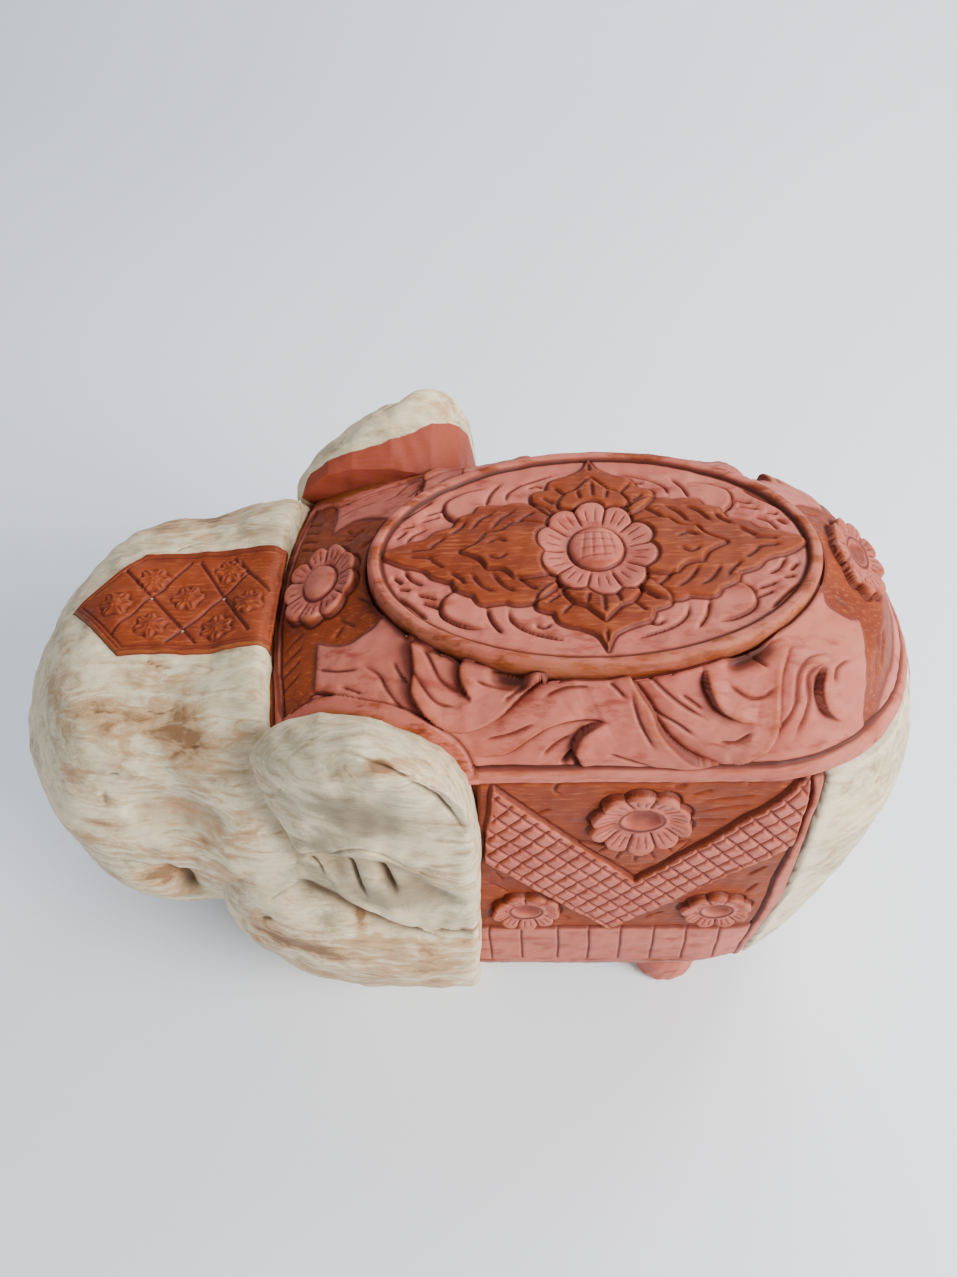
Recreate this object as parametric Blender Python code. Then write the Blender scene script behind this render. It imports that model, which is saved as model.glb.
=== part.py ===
"""Carved wooden elephant, a low stool figure built up from glued and dowelled blocks.

Metres, +Z up. The head points to -X, the left side faces -Y. The origin is on the floor under the
middle of the overall box.
"""
import math

import bmesh
import bpy
from mathutils import Matrix, Vector

# Driving sizes
GAP = 0.0003                    # glue line between two blocks
HEAD_LENGTH = 0.110             # front of the forehead to the neck joint
BODY_LENGTH = 0.276             # neck joint to the back of the rump
BODY_HEIGHT = 0.232             # floor to the flat under the seat plank
BODY_HALF_WIDTH = 0.077
BELLY_HEIGHT = 0.022            # floor to the hem of the blanket
HEAD_DROP = 0.019               # top of the body down to the crown
HEAD_HALF_WIDTH = 0.072
TRUNK_CLEARANCE = 0.010         # floor to the tip of the trunk
SEAT_LENGTH = 0.172
SEAT_WIDTH = 0.116
SEAT_THICKNESS = 0.0115
SEAT_SETBACK = 0.044            # neck joint to the front of the seat plank
SEAT_RISE = 0.052               # slope of the seat, up towards the rump
EAR_LENGTH = 0.084
EAR_HEIGHT = 0.134
EAR_RISE = 0.011                # top of the body up to the top of the ear
EAR_STANDOUT = 0.023            # side of the body to the outer face of the ear
EAR_ROUNDING = 0.006
EAR_SEAT_GAP = 0.012            # side of the seat plank to the inner face of the ear
LEG_LENGTH = 0.118
LEG_DROP = 0.056                # top of the body down to the top of the front leg
LEG_STANDOUT = 0.026            # side of the body to the widest point of the front leg
LEG_INNER = 0.036               # middle of the body to the inner side of the front foot
REAR_CUT = 0.088                # neck joint to the rear face of the ear and front leg
FOOT_LENGTH = 0.034
FOOT_WIDTH = 0.046
FOOT_INSET = 0.002              # side of the body to the outer side of the hind foot
FOOT_SETBACK = 0.184            # neck joint to the middle of the hind foot
NECK_DOWEL = (0.012, 0.050)     # diameter, length
NECK_DOWEL_SPACING = 0.056
NECK_DOWEL_HEIGHT = 0.128
EAR_DOWEL = (0.008, 0.022)
LEG_DOWEL = (0.010, 0.030)
SEAT_DOWEL = (0.008, 0.018)
SEAT_DOWEL_SPACING = 0.100
FOOT_DOWEL = (0.008, 0.022)
SHOULDER_SHARE = 0.80           # share of the body's height where the seat's slope starts
EAR_MIDDLE = 0.45               # centre of the ear, as a share of its length and its height
SEAT_EDGES = (0.0015, 0.0020)   # rounding of the plank's lower and upper edge
FOOT_EDGES = (0.003, 0.002)     # rounding of the hind foot's lower and upper edge
FOOT_SWELL = 0.6                # share of its height that the hind foot keeps its full width
EAR_DOWEL_REACH = 0.90          # middle of an ear dowel, as a share of the body's half width
EAR_DOWEL_DROP = 0.30           # top of the ear down to its dowel, as a share of its height
LEG_DOWEL_SETBACK = 0.40        # rear cut to the leg dowel, as a share of the leg's length
LEG_DOWEL_RISE = 0.42           # floor to the leg dowel, as a share of the leg's height
LEG_DOWEL_REACH = 0.002         # side of the body to the middle of a leg dowel
SEAT_DOWEL_TOP = 0.6            # share of the plank's thickness that the seat dowels fill
BODY_POWER = 2.15               # how square a block is in plan: 2 is an ellipse
HEAD_POWER = 2.1
LEG_POWER = 2.3
SEAT_POWER = 2.05
FOOT_POWER = 2.4
RING_STEPS = 40                 # points round a block
DOWEL_STEPS = 16

NECK_X = -(HEAD_LENGTH + BODY_LENGTH) / 2 + HEAD_LENGTH
REAR_CUT_X = NECK_X + REAR_CUT
HEAD_HEIGHT = BODY_HEIGHT - HEAD_DROP
EAR_TOP = BODY_HEIGHT + EAR_RISE
EAR_REACH = BODY_HALF_WIDTH + EAR_STANDOUT
LEG_HEIGHT = BODY_HEIGHT - LEG_DROP
LEG_REACH = BODY_HALF_WIDTH + LEG_STANDOUT
RUMP_X = NECK_X + BODY_LENGTH
SEAT_FRONT_X = NECK_X + SEAT_SETBACK
SEAT_X = SEAT_FRONT_X + SEAT_LENGTH / 2
FOOT_X = NECK_X + FOOT_SETBACK

WHITEWASH = (0.56, 0.48, 0.38)
DUSTY_PINK = (0.47, 0.16, 0.12)
RUST = (0.34, 0.09, 0.03)
RAW_WOOD = (0.50, 0.31, 0.16)

# Each block is a stack of outlines: height, front, rear and half width as shares of the block, with the
# lengths of its rounded front and rear ends as shares of its half width.
BODY_LEVELS = (
    (0.000, 0.020, 0.925, 0.97, 0.20, 0.95),
    (0.040, 0.000, 0.945, 1.00, 0.10, 0.95),
    (0.160, 0.000, 0.972, 1.00, 0.10, 0.95),
    (0.350, 0.000, 0.992, 1.00, 0.10, 0.95),
    (0.560, 0.000, 1.000, 1.00, 0.10, 0.95),
    (0.680, 0.000, 0.990, 1.00, 0.10, 0.95),
    (0.775, 0.000, 0.968, 0.995, 0.10, 0.95),
    (0.845, 0.004, 0.940, 0.975, 0.16, 0.98),
    (0.900, 0.014, 0.910, 0.945, 0.30, 1.02),
    (0.945, 0.040, 0.890, 0.905, 0.55, 1.04),
    (0.978, 0.080, 0.866, 0.860, 0.80, 1.10),
    (1.000, 0.115, 0.838, 0.800, 1.00, 1.18),
)
HEAD_LEVELS = (
    (0.000, 0.380, 0.600, 0.20, 0.80, 0.80),
    (0.040, 0.345, 0.640, 0.26, 0.80, 0.80),
    (0.130, 0.310, 0.680, 0.32, 0.80, 0.80),
    (0.200, 0.250, 0.760, 0.42, 0.80, 0.60),
    (0.255, 0.150, 0.900, 0.62, 0.78, 0.30),
    (0.300, 0.085, 0.990, 0.84, 0.76, 0.12),
    (0.350, 0.050, 1.000, 0.93, 0.76, 0.08),
    (0.430, 0.030, 1.000, 0.98, 0.82, 0.08),
    (0.540, 0.010, 1.000, 1.00, 0.98, 0.08),
    (0.660, 0.000, 1.000, 1.00, 1.08, 0.08),
    (0.750, 0.025, 1.000, 0.985, 1.10, 0.08),
    (0.840, 0.090, 1.000, 0.950, 1.12, 0.08),
    (0.910, 0.180, 1.000, 0.890, 1.15, 0.08),
    (0.955, 0.270, 1.000, 0.800, 1.20, 0.10),
    (0.985, 0.370, 1.000, 0.620, 1.40, 0.12),
    (1.000, 0.480, 1.000, 0.320, 1.80, 0.20),
)
LEG_LEVELS = (
    (0.000, 0.160, 1.000, 0.70, 0.90, 0.06),
    (0.040, 0.130, 1.000, 0.74, 0.90, 0.06),
    (0.170, 0.060, 1.000, 0.85, 0.85, 0.06),
    (0.340, 0.010, 1.000, 0.96, 0.80, 0.06),
    (0.480, 0.000, 1.000, 1.00, 0.80, 0.06),
    (0.600, 0.020, 1.000, 0.97, 0.85, 0.06),
    (0.700, 0.070, 1.000, 0.90, 0.90, 0.06),
    (0.800, 0.130, 1.000, 0.83, 0.90, 0.06),
    (0.900, 0.220, 1.000, 0.76, 0.90, 0.06),
    (1.000, 0.360, 1.000, 0.66, 0.90, 0.06),
)
# The ear from the side: length from its front tip and height from its lowest corner, as shares, with its
# depth at that point as a share of its reach.
EAR_OUTLINE = (
    (0.000, 0.760, 0.80), (0.050, 0.640, 0.84), (0.110, 0.520, 0.88), (0.150, 0.380, 0.91),
    (0.240, 0.330, 0.93), (0.390, 0.210, 0.96), (0.610, 0.080, 0.98), (0.810, 0.000, 1.00),
    (1.000, 0.000, 1.00), (1.000, 0.440, 1.00), (1.000, 0.780, 1.00), (0.980, 0.910, 1.00),
    (0.920, 0.975, 1.00), (0.780, 1.000, 1.00), (0.600, 0.990, 0.99), (0.360, 0.940, 0.96),
    (0.140, 0.860, 0.88),
)
# How the ear's rounded edge goes: share of its thickness, share of the rounding down, share inward.
EAR_RINGS = ((0.0, 1.0, 0.0), (1.0, 1.0, 0.0), (1.0, 0.5, 0.29), (1.0, 0.13, 0.71), (1.0, 0.0, 1.0))


def clear_scene():
    for old in list(bpy.data.objects):
        bpy.data.objects.remove(old, do_unlink=True)


def wood_material(name, colour):
    finish = bpy.data.materials.new(name)
    finish.use_nodes = True
    shader = finish.node_tree.nodes["Principled BSDF"]
    shader.inputs["Base Color"].default_value = (*colour, 1.0)
    shader.inputs["Roughness"].default_value = 0.6
    shader.inputs["Metallic"].default_value = 0.0
    return finish


def keep(name, bm, finish):
    """Turn a bmesh into a named object with its finish."""
    bmesh.ops.recalc_face_normals(bm, faces=bm.faces)
    mesh = bpy.data.meshes.new(name)
    bm.to_mesh(mesh)
    bm.free()
    mesh.shade_smooth()
    mesh.set_sharp_from_angle(angle=math.radians(40))
    piece = bpy.data.objects.new(name, mesh)
    bpy.context.scene.collection.objects.link(piece)
    if finish is not None:
        mesh.materials.append(finish)
    return piece


def rounded_end(angle, power):
    """A point on a unit superellipse."""
    across = math.sin(angle)
    along = math.cos(angle)
    return (math.copysign(abs(along) ** (2 / power), along),
            math.copysign(abs(across) ** (2 / power), across))


def plan_outline(front, rear, half_width, front_round, rear_round, power):
    """An outline in plan with straight sides and rounded ends, from the rear round by the left side."""
    points = []
    for step in range(RING_STEPS):
        angle = 2 * math.pi * (step + 0.5) / RING_STEPS
        along, across = rounded_end(angle, power)
        if along > 0:
            x = rear - rear_round + rear_round * along
        else:
            x = front + front_round + front_round * along
        points.append((x, half_width * across))
    return points


def stack(outlines):
    """A closed body through a stack of outlines, each a list of points."""
    bm = bmesh.new()
    rings = [[bm.verts.new(point) for point in outline] for outline in outlines]
    for lower, upper in zip(rings, rings[1:]):
        for i in range(len(lower)):
            j = (i + 1) % len(lower)
            bm.faces.new((lower[i], lower[j], upper[j]))
            bm.faces.new((lower[i], upper[j], upper[i]))
    bm.faces.new(list(reversed(rings[0])))
    bm.faces.new(rings[-1])
    return bm


def block_outlines(levels, bottom, height, front, length, half_width, power, grow=0.0):
    """The outlines of a block that is symmetrical about the middle plane, grown all round by a clearance."""
    outlines = []
    last = len(levels) - 1
    for i, (up, start, end, wide, front_round, rear_round) in enumerate(levels):
        z = bottom + up * height
        if i == 0:
            z -= grow
        if i == last:
            z += grow
        half = half_width * wide + grow
        x0 = front + start * length - grow
        x1 = front + end * length + grow
        limit = (x1 - x0) / 2
        front_round = min(front_round * half, limit)
        rear_round = min(rear_round * half, limit)
        plan = plan_outline(x0, x1, half, front_round, rear_round, power)
        outlines.append([(x, y, z) for x, y in plan])
    return outlines


def seat_slope(x, z):
    """How far the seat's slope lifts a point: full at the seat, none below the blanket's shoulder."""
    shoulder = SHOULDER_SHARE * BODY_HEIGHT
    share = min(max((z - shoulder) / (BODY_HEIGHT - shoulder), 0.0), 1.0)
    return SEAT_RISE * (x - SEAT_X) * share


def body_shape(grow=0.0):
    outlines = block_outlines(BODY_LEVELS, BELLY_HEIGHT, BODY_HEIGHT - BELLY_HEIGHT, NECK_X, BODY_LENGTH,
                              BODY_HALF_WIDTH, BODY_POWER, grow)
    return stack([[(x, y, z + seat_slope(x, z)) for x, y, z in ring] for ring in outlines])


def head_shape(grow=0.0):
    outlines = block_outlines(HEAD_LEVELS, TRUNK_CLEARANCE, HEAD_HEIGHT - TRUNK_CLEARANCE,
                              NECK_X - HEAD_LENGTH, HEAD_LENGTH - GAP, HEAD_HALF_WIDTH, HEAD_POWER, grow)
    return stack(outlines)


def leg_shape(side, grow=0.0):
    """A front leg block before the body and head are cut out of it. The side is -1 left, +1 right."""
    outlines = []
    last = len(LEG_LEVELS) - 1
    for i, (up, start, end, reach, front_round, rear_round) in enumerate(LEG_LEVELS):
        z = up * LEG_HEIGHT
        if i == last:
            z += grow
        half = (LEG_REACH * reach - LEG_INNER) / 2 + grow
        x0 = REAR_CUT_X - LEG_LENGTH * (1 - start) - grow
        x1 = REAR_CUT_X - LEG_LENGTH * (1 - end) + grow
        middle = side * (LEG_REACH * reach + LEG_INNER) / 2
        limit = (x1 - x0) / 2
        plan = plan_outline(x0, x1, half, min(front_round * 2 * half, limit), rear_round * half, LEG_POWER)
        outlines.append([(x, middle + y, z) for x, y in plan])
    return stack(outlines)


def ear_shape(side):
    """An ear slab before the body and front leg are cut out of it."""
    corner = Vector((REAR_CUT_X - EAR_LENGTH, 0.0, EAR_TOP - EAR_HEIGHT))
    middle = Vector((REAR_CUT_X - EAR_LENGTH * EAR_MIDDLE, 0.0, EAR_TOP - EAR_HEIGHT * EAR_MIDDLE))
    outlines = []
    for out, depth, inward in EAR_RINGS:
        ring = []
        for along, up, reach in EAR_OUTLINE:
            edge = corner + Vector((along * EAR_LENGTH, 0.0, up * EAR_HEIGHT))
            away = middle - edge
            edge += away.normalized() * EAR_ROUNDING * inward
            outer = EAR_REACH * reach - EAR_ROUNDING * depth
            inner = SEAT_WIDTH / 2 + EAR_SEAT_GAP
            edge.y = side * (inner + (outer - inner) * out)
            ring.append(edge)
        outlines.append(ring)
    return stack(outlines)


def dowel_shape(centre, axis, size, grow=0.0):
    """A round dowel: its size is a diameter and a length, its axis is X, Y or Z."""
    diameter, length = size
    bm = bmesh.new()
    bmesh.ops.create_cone(bm, cap_ends=True, segments=DOWEL_STEPS, radius1=diameter / 2 + grow,
                          radius2=diameter / 2 + grow, depth=length + 2 * grow)
    turns = {"X": Matrix.Rotation(math.pi / 2, 3, "Y"), "Y": Matrix.Rotation(math.pi / 2, 3, "X"),
             "Z": Matrix.Identity(3)}
    bmesh.ops.rotate(bm, verts=bm.verts, cent=(0, 0, 0), matrix=turns[axis])
    bmesh.ops.translate(bm, verts=bm.verts, vec=centre)
    return bm


def cut_away(piece, name, bm):
    """Cut a shape out of a piece with a live Boolean."""
    cutter = keep(f"cut_{piece.name}_{name}", bm, None)
    cutter.hide_render = True
    cutter.display_type = "WIRE"
    cut = piece.modifiers.new(name, "BOOLEAN")
    cut.operation = "DIFFERENCE"
    cut.solver = "EXACT"
    cut.object = cutter


def seat_height(x):
    """Top of the body under the seat plank."""
    return BODY_HEIGHT + SEAT_RISE * (x - SEAT_X)


def seat_shape():
    outlines = []
    under, over = SEAT_EDGES
    steps = ((0.0, -under), (under, 0.0), (SEAT_THICKNESS - over, 0.0), (SEAT_THICKNESS, -over))
    for up, grow in steps:
        half_length = SEAT_LENGTH / 2 + grow
        half_width = SEAT_WIDTH / 2 + grow
        plan = plan_outline(SEAT_X - half_length, SEAT_X + half_length, half_width, half_length,
                            half_length, SEAT_POWER)
        outlines.append([(x, y, seat_height(x) + GAP + up) for x, y in plan])
    return stack(outlines)


def foot_shape(side):
    """A hind foot, a low rounded peg under the belly."""
    middle = side * (BODY_HALF_WIDTH - FOOT_INSET - FOOT_WIDTH / 2)
    top = BELLY_HEIGHT - GAP
    outlines = []
    under, over = FOOT_EDGES
    for up, grow in ((0.0, -under), (under, 0.0), (top * FOOT_SWELL, 0.0), (top, -over)):
        plan = plan_outline(FOOT_X - FOOT_LENGTH / 2 - grow, FOOT_X + FOOT_LENGTH / 2 + grow,
                            FOOT_WIDTH / 2 + grow, FOOT_LENGTH / 2 + grow, FOOT_LENGTH / 2 + grow,
                            FOOT_POWER)
        outlines.append([(x, middle + y, up) for x, y in plan])
    return stack(outlines)


def dowels():
    """Every dowel: name, centre, axis, size and the two blocks that it joins."""
    ear_depth = BODY_HALF_WIDTH * EAR_DOWEL_REACH
    leg_depth = BODY_HALF_WIDTH + LEG_DOWEL_REACH
    ear_x = REAR_CUT_X - EAR_LENGTH * EAR_MIDDLE
    ear_z = EAR_TOP - EAR_HEIGHT * EAR_DOWEL_DROP
    leg_x = REAR_CUT_X - LEG_LENGTH * LEG_DOWEL_SETBACK
    leg_z = LEG_HEIGHT * LEG_DOWEL_RISE
    rows = []
    for word, side in (("left", -1), ("right", 1)):
        rows.append((f"neck_dowel_{word}", (NECK_X, side * NECK_DOWEL_SPACING / 2, NECK_DOWEL_HEIGHT), "X",
                     NECK_DOWEL, ("body_block", "head_block")))
        rows.append((f"ear_dowel_{word}", (ear_x, side * ear_depth, ear_z), "Y", EAR_DOWEL,
                     ("body_block", f"{word}_ear")))
        rows.append((f"leg_dowel_{word}", (leg_x, side * leg_depth, leg_z), "Y", LEG_DOWEL,
                     ("body_block", f"{word}_front_leg")))
        foot_y = side * (BODY_HALF_WIDTH - FOOT_INSET - FOOT_WIDTH / 2)
        rows.append((f"foot_dowel_{word}", (FOOT_X, foot_y, BELLY_HEIGHT), "Z", FOOT_DOWEL,
                     ("body_block", f"{word}_hind_foot")))
    for word, step in (("front", -0.5), ("rear", 0.5)):
        x = SEAT_X + step * SEAT_DOWEL_SPACING
        z = seat_height(x) + SEAT_THICKNESS * SEAT_DOWEL_TOP - SEAT_DOWEL[1] / 2
        rows.append((f"seat_dowel_{word}", (x, 0.0, z), "Z", SEAT_DOWEL, ("body_block", "seat_panel")))
    return rows


def build_blocks():
    """The nine carved blocks, with their neighbours cut out of the ears and front legs."""
    whitewash = wood_material("whitewash", WHITEWASH)
    pink = wood_material("dusty_pink", DUSTY_PINK)
    blocks = {
        "body_block": keep("body_block", body_shape(), pink),
        "head_block": keep("head_block", head_shape(), whitewash),
        "seat_panel": keep("seat_panel", seat_shape(), wood_material("seat_rust", RUST)),
    }
    for word, side in (("left", -1), ("right", 1)):
        leg = keep(f"{word}_front_leg", leg_shape(side), wood_material(f"{word}_leg_whitewash", WHITEWASH))
        cut_away(leg, "body", body_shape(GAP))
        cut_away(leg, "head", head_shape(GAP))
        ear = keep(f"{word}_ear", ear_shape(side), wood_material(f"{word}_ear_whitewash", WHITEWASH))
        cut_away(ear, "body", body_shape(GAP))
        cut_away(ear, "leg", leg_shape(side, GAP))
        foot = keep(f"{word}_hind_foot", foot_shape(side), wood_material(f"{word}_foot_pink", DUSTY_PINK))
        blocks.update({leg.name: leg, ear.name: ear, foot.name: foot})
    return blocks


def build_dowels(blocks):
    """The dowels, and their holes in the blocks on both sides of each joint."""
    raw = wood_material("raw_wood", RAW_WOOD)
    for name, centre, axis, size, joined in dowels():
        keep(name, dowel_shape(centre, axis, size), raw)
        for block in joined:
            cut_away(blocks[block], name, dowel_shape(centre, axis, size, GAP))


def main():
    clear_scene()
    build_dowels(build_blocks())


main()
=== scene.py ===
"""Looks of the carved wooden elephant: carved relief, paint, whitewash, studio and camera."""
import math

import bmesh
import bpy
import numpy as np
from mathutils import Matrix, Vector
from mathutils.bvhtree import BVHTree


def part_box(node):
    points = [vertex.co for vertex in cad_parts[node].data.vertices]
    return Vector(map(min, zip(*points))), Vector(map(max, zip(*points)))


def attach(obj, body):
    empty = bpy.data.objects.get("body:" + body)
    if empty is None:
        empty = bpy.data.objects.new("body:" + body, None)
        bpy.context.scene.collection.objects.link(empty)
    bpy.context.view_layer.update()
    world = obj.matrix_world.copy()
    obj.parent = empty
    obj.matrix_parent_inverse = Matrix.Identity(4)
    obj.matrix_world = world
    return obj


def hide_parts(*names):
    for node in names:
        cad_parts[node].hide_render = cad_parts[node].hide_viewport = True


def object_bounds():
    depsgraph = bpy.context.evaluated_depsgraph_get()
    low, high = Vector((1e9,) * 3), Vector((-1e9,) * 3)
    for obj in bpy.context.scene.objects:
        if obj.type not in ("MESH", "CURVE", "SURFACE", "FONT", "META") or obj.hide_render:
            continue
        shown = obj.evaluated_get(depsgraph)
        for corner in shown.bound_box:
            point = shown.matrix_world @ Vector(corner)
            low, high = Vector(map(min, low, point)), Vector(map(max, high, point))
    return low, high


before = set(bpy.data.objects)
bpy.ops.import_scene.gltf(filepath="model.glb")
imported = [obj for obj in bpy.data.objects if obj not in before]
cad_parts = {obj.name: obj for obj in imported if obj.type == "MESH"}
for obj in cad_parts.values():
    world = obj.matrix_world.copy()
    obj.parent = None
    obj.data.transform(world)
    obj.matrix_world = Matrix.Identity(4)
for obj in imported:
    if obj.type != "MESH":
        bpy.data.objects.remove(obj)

MM = 0.001
CAD_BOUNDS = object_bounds()
BODY_LOW, BODY_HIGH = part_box("body_block")
HEAD_LOW, HEAD_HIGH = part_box("head_block")
SEAT_LOW, SEAT_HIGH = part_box("seat_panel")
EAR_LOW, EAR_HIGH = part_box("left_ear")

NECK_X = BODY_LOW.x
RUMP_X = BODY_HIGH.x
BODY_LENGTH = RUMP_X - NECK_X
HALF_WIDTH = BODY_HIGH.y
HEM_Z = BODY_LOW.z
SEAT_X = (SEAT_LOW.x + SEAT_HIGH.x) / 2
SEAT_RISE = 0.052                  # slope of the seat, up towards the rump
SHOULDER_Z = 0.1856                # where that slope fades out
BODY_TOP_Z = 0.232
RAIL_Z = 0.197                     # lower groove of the rail round the blanket's top
BODY_POWER = 2.15
DECK_Z = 0.2385                    # blanket top beside the seat
SHELL = 0.004                      # thickness of the carved blanket shells

# Body outlines: height, front, rear and half width as shares of the body, and its rounded ends.
BODY_LEVELS = np.array((
    (0.000, 0.020, 0.925, 0.97, 0.20, 0.95),
    (0.040, 0.000, 0.945, 1.00, 0.10, 0.95),
    (0.160, 0.000, 0.972, 1.00, 0.10, 0.95),
    (0.350, 0.000, 0.992, 1.00, 0.10, 0.95),
    (0.560, 0.000, 1.000, 1.00, 0.10, 0.95),
    (0.680, 0.000, 0.990, 1.00, 0.10, 0.95),
    (0.775, 0.000, 0.968, 0.995, 0.10, 0.95),
    (0.845, 0.004, 0.940, 0.975, 0.16, 0.98),
    (0.900, 0.014, 0.910, 0.945, 0.30, 1.02),
    (0.945, 0.040, 0.890, 0.905, 0.55, 1.04),
    (0.978, 0.080, 0.866, 0.860, 0.80, 1.10),
    (1.000, 0.115, 0.838, 0.800, 1.00, 1.18),
))


# ---------------------------------------------------------------- numbers and curves

def linear(red, green, blue):
    """A display colour, 0 to 255, as the linear colour a shader takes."""
    def one(value):
        share = value / 255
        return share / 12.92 if share <= 0.04045 else ((share + 0.055) / 1.055) ** 2.4
    return (one(red), one(green), one(blue), 1.0)


def smooth(low, high, value):
    share = np.clip((value - low) / (high - low), 0.0, 1.0)
    return share * share * (3 - 2 * share)


def catmull(before, start, end, after, t):
    """Cubic through start and end, with tangents from their neighbours."""
    return 0.5 * (2 * start + (end - before) * t + (2 * before - 5 * start + 4 * end - after) * t ** 2
                  + (3 * start - before - 3 * end + after) * t ** 3)


def smooth_curve(points, closed=False, steps=6):
    """A smooth line through given points. A point given twice is a sharp corner."""
    kept = []
    corner = []
    for point in points:
        if kept and tuple(point) == kept[-1]:
            corner[-1] = True
        else:
            kept.append(tuple(point))
            corner.append(False)
    count = len(kept)
    kept = np.array(kept, float)
    line = []
    for i in range(count if closed else count - 1):
        start = i
        end = (i + 1) % count
        before = start if corner[start] or (not closed and i == 0) else start - 1
        after = end if corner[end] or (not closed and i == count - 2) else (end + 1) % count
        for step in range(steps):
            line.append(catmull(kept[before], kept[start], kept[end], kept[after], step / steps))
    line.append(kept[0] if closed else kept[-1])
    return np.array(line)


def mirrored(points, along, across):
    return [(along * a, across * b) for a, b in points]


def both_sides(points):
    """An outline that starts on the middle line, followed by its mirror image back to the start."""
    return points + tuple((a, -b) for a, b in reversed(points[2:]))


def straight(points):
    """The same points with every one a sharp corner."""
    return [point for point in points for _ in range(2)]


def waver(a, b, size, seed):
    """Smooth unevenness between -1 and 1, the same on each run."""
    turns = np.random.default_rng(seed)
    total = np.zeros_like(a)
    for _ in range(5):
        angle = turns.uniform(0, math.tau)
        phase = turns.uniform(0, math.tau)
        pitch = size * turns.uniform(0.6, 1.6)
        total += np.sin((a * math.cos(angle) + b * math.sin(angle)) * math.tau / pitch + phase)
    return total / 3


def line_distance(a, b, line):
    """Distance to a line, how far along it, and the side: +1 on the left of its direction."""
    best = np.full(a.shape, 1e12)
    along = np.zeros(a.shape)
    side = np.zeros(a.shape)
    spans = np.hypot(*np.diff(line, axis=0).T)
    total = max(spans.sum(), 1e-9)
    done = 0.0
    for start, end, span in zip(line, line[1:], spans):
        if span < 1e-9:
            continue
        run = end - start
        share = np.clip(((a - start[0]) * run[0] + (b - start[1]) * run[1]) / span ** 2, 0, 1)
        off_a = a - start[0] - share * run[0]
        off_b = b - start[1] - share * run[1]
        distance = off_a ** 2 + off_b ** 2
        closer = distance < best
        best = np.where(closer, distance, best)
        along = np.where(closer, (done + share * span) / total, along)
        side = np.where(closer, np.sign(run[0] * off_b - run[1] * off_a), side)
        done += span
    return np.sqrt(best), along, side


def inside(a, b, line):
    """Whether points lie inside a closed line."""
    odd = np.zeros(a.shape, bool)
    for start, end in zip(line, line[1:]):
        if start[1] == end[1]:
            continue
        crosses = (start[1] > b) != (end[1] > b)
        edge = start[0] + (b - start[1]) * (end[0] - start[0]) / (end[1] - start[1])
        odd ^= crosses & (a < edge)
    return odd


# ---------------------------------------------------------------- the carver's tools

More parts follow.
